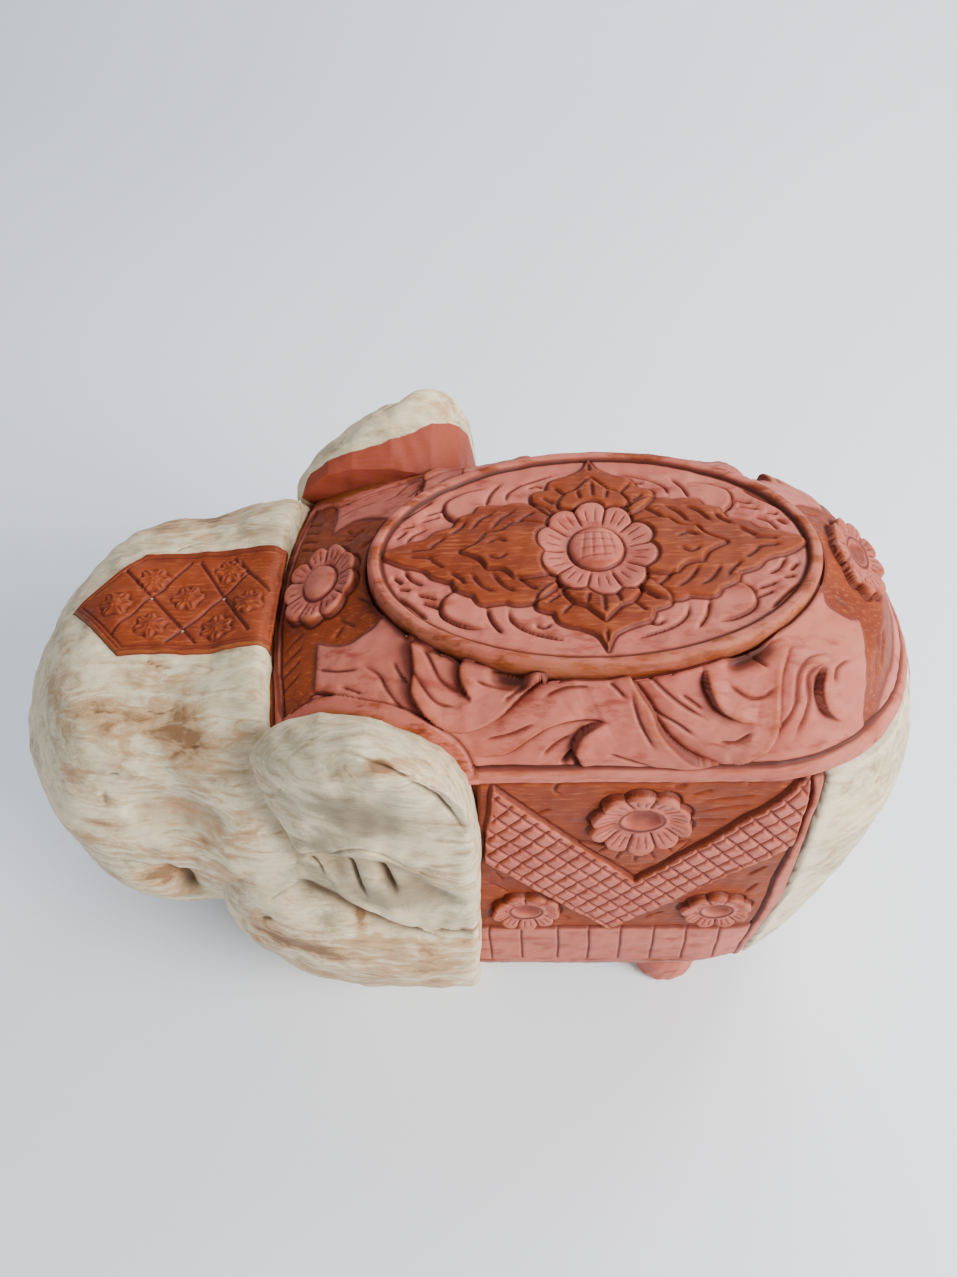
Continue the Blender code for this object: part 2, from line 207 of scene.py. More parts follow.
class Carving:
    """Relief worked on a surface, in millimetres: its height, the painted shade of its cuts, and its paint.
    """

    def __init__(self, a, b):
        self.a = a
        self.b = b
        self.height = np.zeros(a.shape)
        self.cut = np.zeros(a.shape)
        self.rust = np.zeros(a.shape)
        self.wear_and_shade = np.zeros(a.shape)

    def near(self, line, reach):
        low = line.min(0) - reach
        high = line.max(0) + reach
        return ((self.a > low[0]) & (self.a < high[0]) & (self.b > low[1]) & (self.b < high[1]))

    def gouge(self, points, width=0.8, depth=1.0, lift=0.0, fall=5.0, dark=0.6, ends=0.18):
        """A cut along a line, darkened as painted shade. lift raises the left side of the line and sinks the
        right, and the low side is darkened as painted shade too.
        """
        line = smooth_curve(points)
        spot = self.near(line, 3 * max(width, fall if lift else 0.0))
        distance, along, side = line_distance(self.a[spot], self.b[spot], line)
        taper = np.clip(np.minimum(along, 1 - along) / ends, 0.0, 1.0) ** 0.7 if ends else 1.0
        cut = np.exp(-1.6 * (distance / width) ** 2) * np.maximum(taper, 0.25)
        self.height[spot] -= depth * cut
        if lift:
            self.height[spot] += lift * side * np.exp(-distance / fall) * taper
            # Painted shade on the low side of the step.
            low = (side * lift < 0) * np.exp(-distance / (fall * 0.42)) * taper
            cut = np.maximum(cut, 0.55 * low * min(abs(lift), 1.5))
        self.cut[spot] = np.maximum(self.cut[spot], cut * dark)

    def sharp_groove(self, distance, width, depth, dark=1.0):
        """A groove where a distance field is zero, darkened as painted shade."""
        cut = np.exp(-1.6 * (distance / width) ** 2)
        self.height -= depth * cut
        self.cut = np.maximum(self.cut, cut * dark)

    def shape(self, points, rise, edge=1.0, crown=0.0, rust=None, groove=0.9, depth=0.7, dark=0.7):
        """A raised or sunk area with a cut round it, darkened as painted shade. crown rounds its middle up.
        """
        line = smooth_curve(points, closed=True)
        spot = self.near(line, 6.0)
        distance, _, _ = line_distance(self.a[spot], self.b[spot], line)
        within = inside(self.a[spot], self.b[spot], line)
        signed = np.where(within, distance, -distance)
        share = smooth(-edge / 2, edge / 2, signed)
        self.height[spot] += rise * share + crown * (1 - np.exp(-np.maximum(signed, 0) / 5.0)) * share
        if rust is not None:
            self.rust[spot] += (rust - self.rust[spot]) * smooth(-0.4, 0.5, signed)
        cut = np.exp(-1.6 * ((signed + groove * 0.5) / groove) ** 2)
        self.height[spot] -= depth * cut
        self.cut[spot] = np.maximum(self.cut[spot], cut * dark)

    def flower(self, centre, across, up, petals, rise=2.2, turn=0.0, dish=0.0, dome=2.2, heart=0.46,
               nicks=3, seed=1, shift=(0.0, 0.0)):
        """A round flower: scalloped petals with radial nicks round a dome, or round a dished heart."""
        da = (self.a - centre[0]) / across
        db = (self.b - centre[1]) / up
        inner = np.clip(1 - np.hypot(da, db), 0, 1)
        da = da - shift[0] / across * inner
        db = db - shift[1] / up * inner
        radius = np.hypot(da, db)
        spot = radius < 1.6
        radius = radius[spot]
        angle = np.arctan2(db[spot], da[spot]) + turn
        size = (across + up) / 2
        phase = angle * petals / math.tau
        in_petal = np.abs(phase - np.round(phase)) * 2
        uneven = 0.03 * np.sin(angle * 2 + seed) + 0.02 * np.sin(angle * 5 + seed * 2)
        outline = 1.0 + uneven - 0.13 * in_petal ** 2.2
        signed = (outline - radius) * size
        share = smooth(-0.5, 0.6, signed)
        cup = smooth(heart, 1.0, radius)
        height = rise * share * (0.45 + 0.55 * cup)
        height += 0.5 * share * np.cos(in_petal * math.pi / 2) * cup
        gap = (1 - in_petal) * radius * math.pi / petals * size
        split = np.exp(-1.6 * (gap / 0.55) ** 2) * share * smooth(heart, heart + 0.15, radius)
        height -= 0.9 * split
        spokes = angle * petals * nicks / math.tau + 0.5
        off = np.abs(spokes - np.round(spokes)) * math.tau / (petals * nicks) * radius * size
        length = smooth(heart + 0.10, heart + 0.20, radius) * (1 - smooth(0.80, 0.92, radius))
        nick = np.exp(-1.6 * (off / 0.38) ** 2) * length * share
        height -= 0.55 * nick
        ring = np.exp(-1.6 * ((radius - heart) * size / 0.8) ** 2)
        height -= 1.1 * ring
        within = np.clip(1 - (radius / heart) ** 2, 0, 1)
        if dish:
            lip = np.exp(-((radius - heart * 0.95) * size / 1.3) ** 2)
            height += 1.6 * lip - dish * np.sqrt(within)
        else:
            height += dome * np.sqrt(within)
        moat = np.exp(-1.6 * ((signed + 0.7) / 0.9) ** 2)
        height -= 1.2 * moat
        self.height[spot] = self.height[spot] * (1 - share) + height
        hidden = smooth(-0.2, 0.6, signed)
        self.cut[spot] = self.cut[spot] * (1 - hidden)
        # The petal splits, nicks, heart ring and moat are darkened as painted shade; a dished heart is shaded
        # as a hollow.
        marks = np.maximum.reduce([split * 0.7, nick * 0.75, ring * (0.9 if dish else 0.75), moat * 0.85])
        self.cut[spot] = np.maximum(self.cut[spot], marks)
        if dish:
            self.cut[spot] = np.maximum(self.cut[spot], 0.55 * within * share)
        self.rust[spot] *= 1 - hidden


# ---------------------------------------------------------------- surfaces and meshes

def body_level(share):
    """The body's outline numbers at a height share, on smooth curves through its levels."""
    heights = BODY_LEVELS[:, 0]
    i = np.clip(np.searchsorted(heights, share, side="right") - 1, 0, len(heights) - 2)
    t = np.clip((share - heights[i]) / (heights[i + 1] - heights[i]), 0, 1)
    rows = [BODY_LEVELS[np.clip(i + k, 0, len(heights) - 1), 1:] for k in (-1, 0, 1, 2)]
    return catmull(rows[0], rows[1], rows[2], rows[3], t[..., None])


def seat_slope(x, z):
    share = np.clip((z - SHOULDER_Z) / (BODY_TOP_Z - SHOULDER_Z), 0, 1.15)
    return SEAT_RISE * (x - SEAT_X) * share


def superellipse(angle, power):
    along = np.cos(angle)
    across = np.sin(angle)
    return (np.sign(along) * np.abs(along) ** (2 / power), np.sign(across) * np.abs(across) ** (2 / power))


def body_ring(angle, z):
    """Points of the body's side at an angle in plan and a height, before the slope is added."""
    share = (z - HEM_Z) / (BODY_TOP_Z - HEM_Z)
    start, end, wide, front_round, rear_round = np.moveaxis(body_level(share), -1, 0)
    half = HALF_WIDTH * wide
    x0 = NECK_X + start * BODY_LENGTH
    x1 = NECK_X + end * BODY_LENGTH
    front_round = front_round * half
    rear_round = rear_round * half
    along, across = superellipse(angle, BODY_POWER)
    rear = x1 - rear_round + rear_round * along
    front = x0 + front_round + front_round * along
    return np.where(along > 0, rear, front), half * across


def body_side(x, z):
    """The body's half width at a place along it and a height."""
    share = (z - HEM_Z) / (BODY_TOP_Z - HEM_Z)
    _, end, wide, _, rear_round = np.moveaxis(body_level(share), -1, 0)
    half = HALF_WIDTH * wide
    rear_round = rear_round * half
    along = np.clip((x - (NECK_X + end * BODY_LENGTH - rear_round)) / rear_round, 0, 1)
    return half * (1 - along ** BODY_POWER) ** (1 / BODY_POWER)


def sheet(across, up):
    """A flat grid from a bmesh, with its vertex order as rows, and its two coordinates from 0 to 1."""
    bm = bmesh.new()
    bmesh.ops.create_grid(bm, x_segments=across, y_segments=up, size=0.5)
    mesh = bpy.data.meshes.new("sheet")
    bm.to_mesh(mesh)
    bm.free()
    flat = np.empty(len(mesh.vertices) * 3, np.float32)
    mesh.vertices.foreach_get("co", flat)
    flat = flat.reshape(-1, 3)
    order = np.lexsort((np.round(flat[:, 0], 6), np.round(flat[:, 1], 6))).reshape(up + 1, across + 1)
    u = flat[order, 0].astype(float) + 0.5
    v = flat[order, 1].astype(float) + 0.5
    return mesh, order, u, v


def normals_of(points):
    """Unit normals of a grid of points."""
    along = np.gradient(points, axis=1)
    up = np.gradient(points, axis=0)
    normal = np.cross(along, up)
    return normal / np.maximum(np.linalg.norm(normal, axis=-1, keepdims=True), 1e-12)


def blurred(field, times):
    for _ in range(times):
        field = np.pad(field, 1, mode="edge")
        field = (field[1:-1, 1:-1] * 2 + field[:-2, 1:-1] + field[2:, 1:-1] + field[1:-1, :-2]
                 + field[1:-1, 2:]) / 6
    return field


def write_points(mesh, order, points):
    flat = np.empty((order.size, 3), np.float32)
    flat[order.ravel()] = points.reshape(-1, 3)
    mesh.vertices.foreach_set("co", flat.ravel())
    mesh.update()


def write_field(mesh, name, values, order=None):
    field = mesh.attributes.new(name, "FLOAT", "POINT")
    flat = np.empty(len(mesh.vertices), np.float32)
    if order is None:
        flat[:] = values
    else:
        flat[order.ravel()] = values.ravel()
    field.data.foreach_set("value", flat)


def write_carving(mesh, carving, order):
    # The relief drives the painted highlight on raised parts and the painted shade in hollows.
    relief = carving.height - blurred(carving.height, 24)
    write_field(mesh, "rust", np.clip(carving.rust, 0, 1), order)
    write_field(mesh, "cut", np.clip(carving.cut, 0, 1), order)
    write_field(mesh, "wear_and_shade", np.clip(carving.wear_and_shade, 0, 1), order)
    write_field(mesh, "relief", np.clip(relief, -2, 2), order)


def close_back(mesh, inward):
    """Start a closed shell from an open sheet: its edges go in by a vector field, and the back's open rim is
    returned for filling.
    """
    bm = bmesh.new()
    bm.from_mesh(mesh)
    bmesh.ops.remove_doubles(bm, verts=bm.verts, dist=1e-6)
    rim = [edge for edge in bm.edges if edge.is_boundary]
    grown = bmesh.ops.extrude_edge_only(bm, edges=rim)["geom"]
    for vertex in (item for item in grown if isinstance(item, bmesh.types.BMVert)):
        vertex.co += Vector(inward(vertex.co))
    back = [edge for edge in bm.edges if edge.is_boundary]
    return bm, back


def seal(bm, mesh, rim, bridge=False):
    """Close a shell's open rim and write it back to its mesh."""
    if bridge:
        bmesh.ops.bridge_loops(bm, edges=rim)
    else:
        bmesh.ops.holes_fill(bm, edges=rim, sides=0)
    bmesh.ops.recalc_face_normals(bm, faces=bm.faces)
    bm.to_mesh(mesh)
    bm.free()


def write_ring(mesh, order, base, carving, outward):
    """Carve a ring-shaped surface; the normal's component named by outward points away from the body."""
    normal = normals_of(base)
    if normal[outward] < 0:
        normal = -normal
    normal[:, 0] = normal[:, -1] = (normal[:, 1] + normal[:, -2]) / 2
    points = base + normal * (carving.height * MM)[..., None]
    points[:, -1] = points[:, 0]
    write_points(mesh, order, points)
    write_carving(mesh, carving, order)


def place(name, mesh, material, nodes):
    """Make a finished piece that stands for CAD nodes."""
    mesh.name = name
    piece = bpy.data.objects.new(name, mesh)
    bpy.context.scene.collection.objects.link(piece)
    mesh.materials.clear()
    mesh.materials.append(material)
    mesh.shade_smooth()
    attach(piece, "root")
    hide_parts(*nodes)
    return piece


# ---------------------------------------------------------------- materials

class Mix:
    """Small helper that wires one material's nodes."""

    def __init__(self, name, roughness=0.5, specular=0.4):
        self.material = bpy.data.materials.new(name)
        self.material.use_nodes = True
        self.nodes = self.material.node_tree.nodes
        self.links = self.material.node_tree.links
        self.shader = self.nodes["Principled BSDF"]
        self.shader.inputs["Roughness"].default_value = roughness
        self.shader.inputs["Specular IOR Level"].default_value = specular
        self.place = self.nodes.new("ShaderNodeTexCoord").outputs["Object"]

    def put(self, socket, value):
        if isinstance(value, bpy.types.NodeSocket):
            self.links.new(value, socket)
        else:
            socket.default_value = value

    def field(self, name):
        attribute = self.nodes.new("ShaderNodeAttribute")
        attribute.attribute_name = name
        return attribute.outputs["Fac"]

    def stretched(self, scale, turn=(0, 0, 0)):
        mapping = self.nodes.new("ShaderNodeMapping")
        self.links.new(self.place, mapping.inputs["Vector"])
        mapping.inputs["Scale"].default_value = scale
        mapping.inputs["Rotation"].default_value = turn
        return mapping.outputs["Vector"]

    def noise(self, scale, detail=5.0, stretch=(1, 1, 1), rough=0.6, twist=0.0):
        noise = self.nodes.new("ShaderNodeTexNoise")
        self.links.new(self.stretched(stretch), noise.inputs["Vector"])
        noise.inputs["Scale"].default_value = scale
        noise.inputs["Detail"].default_value = detail
        noise.inputs["Roughness"].default_value = rough
        noise.inputs["Distortion"].default_value = twist
        return noise.outputs["Fac"]

    def span(self, value, low, high, out_low=0.0, out_high=1.0):
        """Spread the values from low to high over a new span, softly."""
        ranging = self.nodes.new("ShaderNodeMapRange")
        ranging.interpolation_type = "SMOOTHSTEP"
        self.links.new(value, ranging.inputs["Value"])
        ranging.inputs["From Min"].default_value = low
        ranging.inputs["From Max"].default_value = high
        ranging.inputs["To Min"].default_value = out_low
        ranging.inputs["To Max"].default_value = out_high
        return ranging.outputs["Result"]

    def sum(self, kind, first, second):
        maths = self.nodes.new("ShaderNodeMath")
        maths.operation = kind
        maths.use_clamp = kind != "ADD"
        self.put(maths.inputs[0], first)
        self.put(maths.inputs[1], second)
        return maths.outputs["Value"]

    def colour(self, share, first, second):
        mix = self.nodes.new("ShaderNodeMix")
        mix.data_type = "RGBA"
        self.put(mix.inputs["Factor"], share)
        self.put(mix.inputs[6], first)
        self.put(mix.inputs[7], second)
        return mix.outputs[2]

    def finish(self, colour, bump=None, strength=0.3, distance=0.0004, roughness=None):
        self.put(self.shader.inputs["Base Color"], colour)
        if roughness is not None:
            self.put(self.shader.inputs["Roughness"], roughness)
        if bump is not None:
            node = self.nodes.new("ShaderNodeBump")
            node.inputs["Strength"].default_value = strength
            node.inputs["Distance"].default_value = distance
            self.links.new(bump, node.inputs["Height"])
            self.links.new(node.outputs["Normal"], self.shader.inputs["Normal"])
        return self.material


PINK = linear(168, 85, 70)
PINK_DEEP = linear(142, 62, 49)
PINK_PALE = linear(180, 100, 83)
RUST = linear(126, 52, 21)
# RUST_DEEP and RUST_BRIGHT also serve as painted shade in hollows and a painted highlight on raised parts.
RUST_DEEP = linear(104, 38, 16)
RUST_BRIGHT = linear(152, 74, 36)
# Groove colours: painted shade in the cuts of the carved paint.
GROOVE_SHADE = linear(66, 27, 17)
GROOVE_SHADE_SOFT = linear(98, 40, 28)
OLIVE = linear(122, 74, 30)
CREAM = linear(214, 194, 158)
# CREAM_LIGHT serves for lighter streaks and for the painted highlight on raised parts.
CREAM_LIGHT = linear(232, 218, 188)
CREAM_WARM = linear(204, 174, 138)
CREAM_GREY = linear(182, 166, 134)
# CREAM_DARK serves for dirt smears and for painted shade in hollows.
CREAM_DARK = linear(140, 114, 80)
# Painted shade in the cream: ear faces and the hollow under the ears.
CREAM_SHADE = linear(104, 92, 70)
BARE = linear(178, 134, 90)
STAIN = linear(112, 76, 46)
# Painted shade in creases of the cream.
CREASE_SHADE = linear(84, 62, 46)
EAR_RED = linear(138, 62, 38)
DOWEL_LIGHT = linear(196, 158, 112)
DOWEL_DARK = linear(168, 126, 84)


def carved_paint(name):
    """Pink and rust paint over carved wood, with painted shade in the cuts and hollows, a painted highlight
    on raised parts, and wear on the high edges.
    """
    mix = Mix(name, 0.55, 0.18)
    fine = mix.noise(900, 5, (0.10, 1, 1), 0.65)
    broad = mix.noise(42, 6, (0.45, 1, 1), 0.65, 0.4)
    blotch = mix.noise(150, 5, (0.4, 1, 1), 0.62)
    pink = mix.colour(mix.span(broad, 0.36, 0.62), PINK, PINK_PALE)
    pink = mix.colour(mix.span(blotch, 0.50, 0.72), pink, PINK_DEEP)
    rust = mix.colour(mix.span(broad, 0.34, 0.62), RUST_DEEP, RUST)
    rust = mix.colour(mix.span(fine, 0.50, 0.70), rust, RUST_BRIGHT)
    red = mix.field("rust")
    red = mix.sum("ADD", red, mix.span(blotch, 0.3, 0.7, -0.22, 0.22))
    base = mix.colour(mix.span(red, 0.36, 0.66), pink, rust)
    relief = mix.field("relief")
    # Painted highlight: raised parts go towards bright rust. Painted shade: hollows go towards deep rust.
    high = mix.sum("MULTIPLY", mix.span(relief, 0.16, 0.55), mix.span(blotch, 0.36, 0.60))
    base = mix.colour(mix.sum("MULTIPLY", high, 0.55), base, RUST_BRIGHT)
    low = mix.span(relief, -0.12, -0.7)
    base = mix.colour(mix.sum("MULTIPLY", low, 0.35), base, RUST_DEEP)
    wear_and_shade = mix.sum("MULTIPLY", mix.field("wear_and_shade"), mix.span(broad, 0.30, 0.52))
    base = mix.colour(wear_and_shade, base, mix.colour(mix.span(fine, 0.4, 0.6), OLIVE, RUST_BRIGHT))
    # The cut field is painted shade: cuts, and the low side of steps, go towards the groove shade colours.
    cut = mix.field("cut")
    base = mix.colour(mix.sum("MULTIPLY", mix.span(cut, 0.05, 0.62), 0.85), base, GROOVE_SHADE_SOFT)
    base = mix.colour(mix.span(cut, 0.58, 1.0), base, GROOVE_SHADE)
    grain = mix.sum("ADD", mix.sum("MULTIPLY", fine, 0.6), mix.sum("MULTIPLY", blotch, 0.4))
    rough = mix.span(broad, 0.3, 0.7, 0.48, 0.62)
    return mix.finish(base, grain, 0.35, 0.0005, rough)


def whitewash(name):
    """Cream wash over pale wood, smeared grey, tan where it is rubbed thin, with a painted highlight on
    raised parts and painted shade in hollows, creases, ear faces and under the ears.
    """
    mix = Mix(name, 0.6, 0.18)
    fine = mix.noise(950, 5, (0.10, 1, 1), 0.7)
    streak = mix.noise(150, 8, (0.32, 1, 1), 0.70, 0.8)
    broad = mix.noise(34, 8, (0.7, 1, 1), 0.68, 0.9)
    smear = mix.noise(70, 7, (0.6, 1, 1), 0.66, 1.2)
    base = mix.colour(mix.span(broad, 0.38, 0.60), CREAM_GREY, CREAM)
    base = mix.colour(mix.sum("MULTIPLY", mix.span(smear, 0.52, 0.66), 0.55), base, CREAM_WARM)
    base = mix.colour(mix.sum("MULTIPLY", mix.span(streak, 0.50, 0.40), 0.45), base, CREAM_LIGHT)
    dirt = mix.sum("MULTIPLY", mix.span(streak, 0.50, 0.66), mix.span(broad, 0.62, 0.42))
    base = mix.colour(mix.sum("MULTIPLY", dirt, 0.8), base, CREAM_DARK)
    base = mix.colour(mix.sum("MULTIPLY", mix.span(fine, 0.52, 0.72), 0.45), base, BARE)
    # Painted highlight on raised parts and painted shade in hollows, from the relief field.
    relief = mix.field("relief")
    base = mix.colour(mix.sum("MULTIPLY", mix.span(relief, 0.25, 0.8), 0.35), base, CREAM_LIGHT)
    base = mix.colour(mix.sum("MULTIPLY", mix.span(relief, -0.15, -0.8), 0.5), base, CREAM_DARK)
    # Painted shade: negative values of the wear-and-shade field darken ear faces and the hollow under the
    # ears.
    shade_amount = mix.sum("ADD", mix.field("wear_and_shade"), mix.span(broad, 0.3, 0.7, -0.15, 0.15))
    base = mix.colour(mix.sum("MULTIPLY", mix.span(shade_amount, -0.1, -0.8), 0.7), base, CREAM_SHADE)
    # Positive values give a thin wash and stains; on the lower legs they also paint the leg darker as painted
    # shade.
    thin = mix.sum("ADD", mix.field("wear_and_shade"), mix.span(streak, 0.35, 0.65, -0.4, 0.4))
    thin = mix.sum("ADD", thin, mix.span(smear, 0.35, 0.65, -0.3, 0.3))
    base = mix.colour(mix.sum("MULTIPLY", mix.span(thin, 0.25, 1.0), 0.72), base, BARE)
    base = mix.colour(mix.sum("MULTIPLY", mix.span(thin, 0.95, 1.7), 0.75), base, STAIN)
    # Painted shade in cuts and creases.
    cut = mix.span(mix.field("cut"), 0.05, 0.9)
    base = mix.colour(mix.sum("MULTIPLY", cut, 0.85), base, CREASE_SHADE)
    red = mix.sum("ADD", mix.field("rust"), mix.span(smear, 0.3, 0.7, -0.2, 0.2))
    paint = mix.colour(mix.span(fine, 0.4, 0.6), EAR_RED, PINK_DEEP)
    base = mix.colour(mix.span(red, 0.35, 0.65), base, paint)
    grain = mix.sum("ADD", mix.sum("MULTIPLY", fine, 0.5), mix.sum("MULTIPLY", streak, 0.5))
    return mix.finish(base, grain, 0.5, 0.0009, mix.span(broad, 0.3, 0.7, 0.50, 0.68))


def finish_dowels(material):
    for word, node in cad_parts.items():
        if "dowel" in word:
            for slot in node.material_slots:
                slot.material = material


def raw_wood(name):
    """Plain dowel wood."""
    mix = Mix(name, 0.7, 0.3)
    fine = mix.noise(300, 4, (1, 1, 0.2))
    base = mix.colour(mix.span(fine, 0.35, 0.65), DOWEL_LIGHT, DOWEL_DARK)
    return mix.finish(base, fine, 0.2, 0.0003)


# ---------------------------------------------------------------- seat

SEAT_HALF = ((SEAT_HIGH.x - SEAT_LOW.x) / 2 / MM, (SEAT_HIGH.y - SEAT_LOW.y) / 2 / MM)
SEAT_TOP_Z = SEAT_HIGH.z - SEAT_RISE * (SEAT_HIGH.x - SEAT_X)
SEAT_RIM = 5.6

LEAF = both_sides((
    (82, .5), (82, .5), (72, 5.5), (64, 8), (60, 12), (53, 14.5), (53, 14.5), (51, 19), (45, 22), (45, 22),
    (42, 26), (33, 25.5), (33, 25.5), (29, 27), (22, 25.5), (15, 20), (11, 10), (11, 10),
))
INNER_LEAF = both_sides((
    (50, 0), (50, 0), (43, 4), (40, 9), (40, 9), (34, 10), (30, 14), (30, 14), (22, 14), (13, 9),
))
LEAF_VEINS = (
    ((46, 12), (42, 18), (37, 21)), ((38, 12), (34, 18), (29, 21.5)), ((29, 13.5), (25, 18), (21, 21)),
    ((54, 10), (50, 13.5), (48, 17)), ((62, 3), (56, 8)), ((70, 1.5), (60, 2.5)),
    ((40, 3), (36, 5), (32, 3)),
)
BUD = (
    (2, 53), (2, 53), (5, 46), (11, 42), (11, 42), (18, 39), (20, 34), (20, 34), (26, 31), (24, 24),
    (14, 17), (-10, 17), (-20, 24), (-22, 31), (-16, 34), (-16, 34), (-14, 39), (-7, 42), (-7, 42),
    (-1, 46),
)
INNER_BUD = (
    (-10, 22), (-9, 29), (-4, 32), (-4, 32), (2, 39), (2, 39), (8, 32), (8, 32), (13, 29), (14, 22),
)
BUD_VEINS = (
    ((2, 36), (2, 27)), ((-4, 31), (-3, 26)), ((8, 31), (7, 26)), ((17, 35), (13, 30)),
    ((-13, 35), (-9, 30)), ((22, 29), (17, 25)), ((-18, 29), (-13, 25)), ((2, 50), (2, 44)),
)
QUARTER_CUTS = (
    ((40, 27), (38, 34), (34, 40)), ((32, 29), (31, 34), (25, 39), (12, 44)),
    ((23, 36), (20, 37.5), (17, 36)), ((71, 7), (68, 12), (63, 15)), ((73, 16), (68, 17)),
    ((74, 20), (68, 25), (61, 32)), ((66, 19), (58, 22)), ((64, 23), (57, 26)), ((75, 10), (71, 14)),
)
QUARTER_LOBE = ((50, 17), (56, 23), (56, 30), (49, 35), (41, 37))


def carve_seat(carving):
    a = carving.a
    b = carving.b
    radius = np.hypot(a / SEAT_HALF[0], b / SEAT_HALF[1])
    pull = np.hypot(a / SEAT_HALF[0] ** 2, b / SEAT_HALF[1] ** 2) / np.maximum(radius, 1e-6)
    edge = (1 - radius) / np.maximum(pull, 1e-6)
    field = smooth(SEAT_RIM - 0.6, SEAT_RIM + 1.4, edge)
    for along in (1, -1):
        for across in (1, -1):
            for cut in QUARTER_CUTS:
                carving.gouge(mirrored(cut, along, across), 1.1, 1.3,
                              lift=0.5 * along * across, fall=3, dark=0.55)
            carving.gouge(mirrored(QUARTER_LOBE, along, across), 1.2, 1.3,
                          lift=0.9 * along * across, fall=5, dark=0.6)
    for across in (1, -0.93):
        carving.shape(mirrored(BUD, 1, across), 1.2, 1.8, 0.6, rust=1.0, dark=0.8)
        carving.shape(mirrored(INNER_BUD, 1, across), 1.0, 1.4, 0.6, rust=0.9, depth=1.2)
        for vein in BUD_VEINS:
            carving.gouge(mirrored(vein, 1, across), 0.9, 1.1, dark=0.8)
    for along in (1, -1):
        carving.shape(mirrored(LEAF, along, 1), 1.3, 1.8, 0.6, rust=1.0, dark=0.8)
        carving.shape(mirrored(INNER_LEAF, along, 1), 1.0, 1.5, 0.7, rust=0.85, depth=1.2)
        for across in (1, -1):
            for vein in LEAF_VEINS:
                carving.gouge(mirrored(vein, along, across), 0.95, 1.2, dark=0.85)
    carving.flower((1.5, -0.5), 22.5, 24, 10, rise=2.4, turn=0.25, dome=3.0, heart=0.47, seed=3)
    for off, tilt in ((-6, 0.1), (-2, 0.05), (2.5, -0.03), (6.5, -0.08)):
        carving.gouge(((-7, off - tilt * 7), (9, off + tilt * 9)), 0.6, 0.5, dark=0.45)
        carving.gouge(((1.5 + off, -7), (1.5 + off + tilt * 20, 7)), 0.5, 0.4, dark=0.35)
    carving.height *= field
    carving.cut *= field
    carving.rust *= field
    carving.height -= 1.5 * field
    carving.sharp_groove(edge - SEAT_RIM, 1.1, 1.5)
    rim = 1 - field
    carving.height -= 0.35 * (np.clip(edge / 3 - 1, -1, 1)) ** 2 * rim
    carving.height -= 2.2 * np.clip(1 - edge / 2.2, 0, 1) ** 2
    carving.rust = np.maximum(carving.rust, 0.46 * rim)
    near = smooth(-0.3, 0.8, -b / SEAT_HALF[1] + 0.3 * waver(a, b, 60, 5))
    edges = 0.35 + 0.65 * np.maximum(smooth(2.6, 0.8, edge), smooth(SEAT_RIM - 1.8, SEAT_RIM - 0.5, edge))
    carving.wear_and_shade = np.maximum(carving.wear_and_shade, 0.5 * rim * near * edges)
    carving.height += 0.14 * waver(a, b, 9, 7) + 0.16 * waver(a, b, 26, 8)


def build_seat(material):
    mesh, order, u, v = sheet(344, 232)
    u = u * 2 - 1
    v = v * 2 - 1
    a = u * np.sqrt(1 - v * v / 2) * (SEAT_HALF[0] - 0.1)
    b = v * np.sqrt(1 - u * u / 2) * (SEAT_HALF[1] - 0.1)
    carving = Carving(a, b)
    carve_seat(carving)
    x = SEAT_X + a * MM
    z = SEAT_TOP_Z + SEAT_RISE * a * MM + (carving.height - 0.1) * MM
    write_points(mesh, order, np.stack((x, b * MM, z), -1))
    write_carving(mesh, carving, order)
    bm, back = close_back(mesh, lambda co: (0, 0, -0.0075))
    seal(bm, mesh, back)
    place("seat_carving", mesh, material, ["seat_panel"])


# ---------------------------------------------------------------- blanket over the back

# Points are (along the body, over its side), in mm; the second is half width and then distance down.
LEAF_STEPS = (
    # points, width, depth, lift of the left side, how far the lift reaches
    (((-22, 31), (-20, 40), (-19, 52), (-20, 61), (-16, 70), (-9, 78)), 1.1, 0.9, -2.6, 9),
    (((3, 44), (-2, 50), (-2, 58), (2, 66)), 1.0, 0.8, -2.0, 8),
    (((-9, 78), (1, 78), (11, 73), (19, 64), (27, 57), (34, 54)), 1.1, 0.8, -3.0, 10),
    (((3, 92), (15, 90), (22, 84), (30, 78), (41, 76)), 0.9, 0.9, -1.3, 8),
    (((40, 98), (38, 89), (41, 80), (48, 76)), 1.1, 1.0, 2.4, 8),
    (((53, 55), (57, 61), (64, 71), (67, 79), (73, 88), (81, 95), (91, 97)), 1.2, 1.0, 3.0, 10),
    (((82, 56), (83, 64), (87, 72), (94, 76), (100, 77)), 1.1, 0.9, -2.4, 8),
    (((114, 44), (110, 57), (109, 69), (109, 81), (107, 89), (103, 93), (96, 97)), 1.4, 1.0, 3.0, 9),
    (((127, 54), (124, 64), (127, 74), (134, 79)), 1.0, 1.0, -2.0, 8),
)
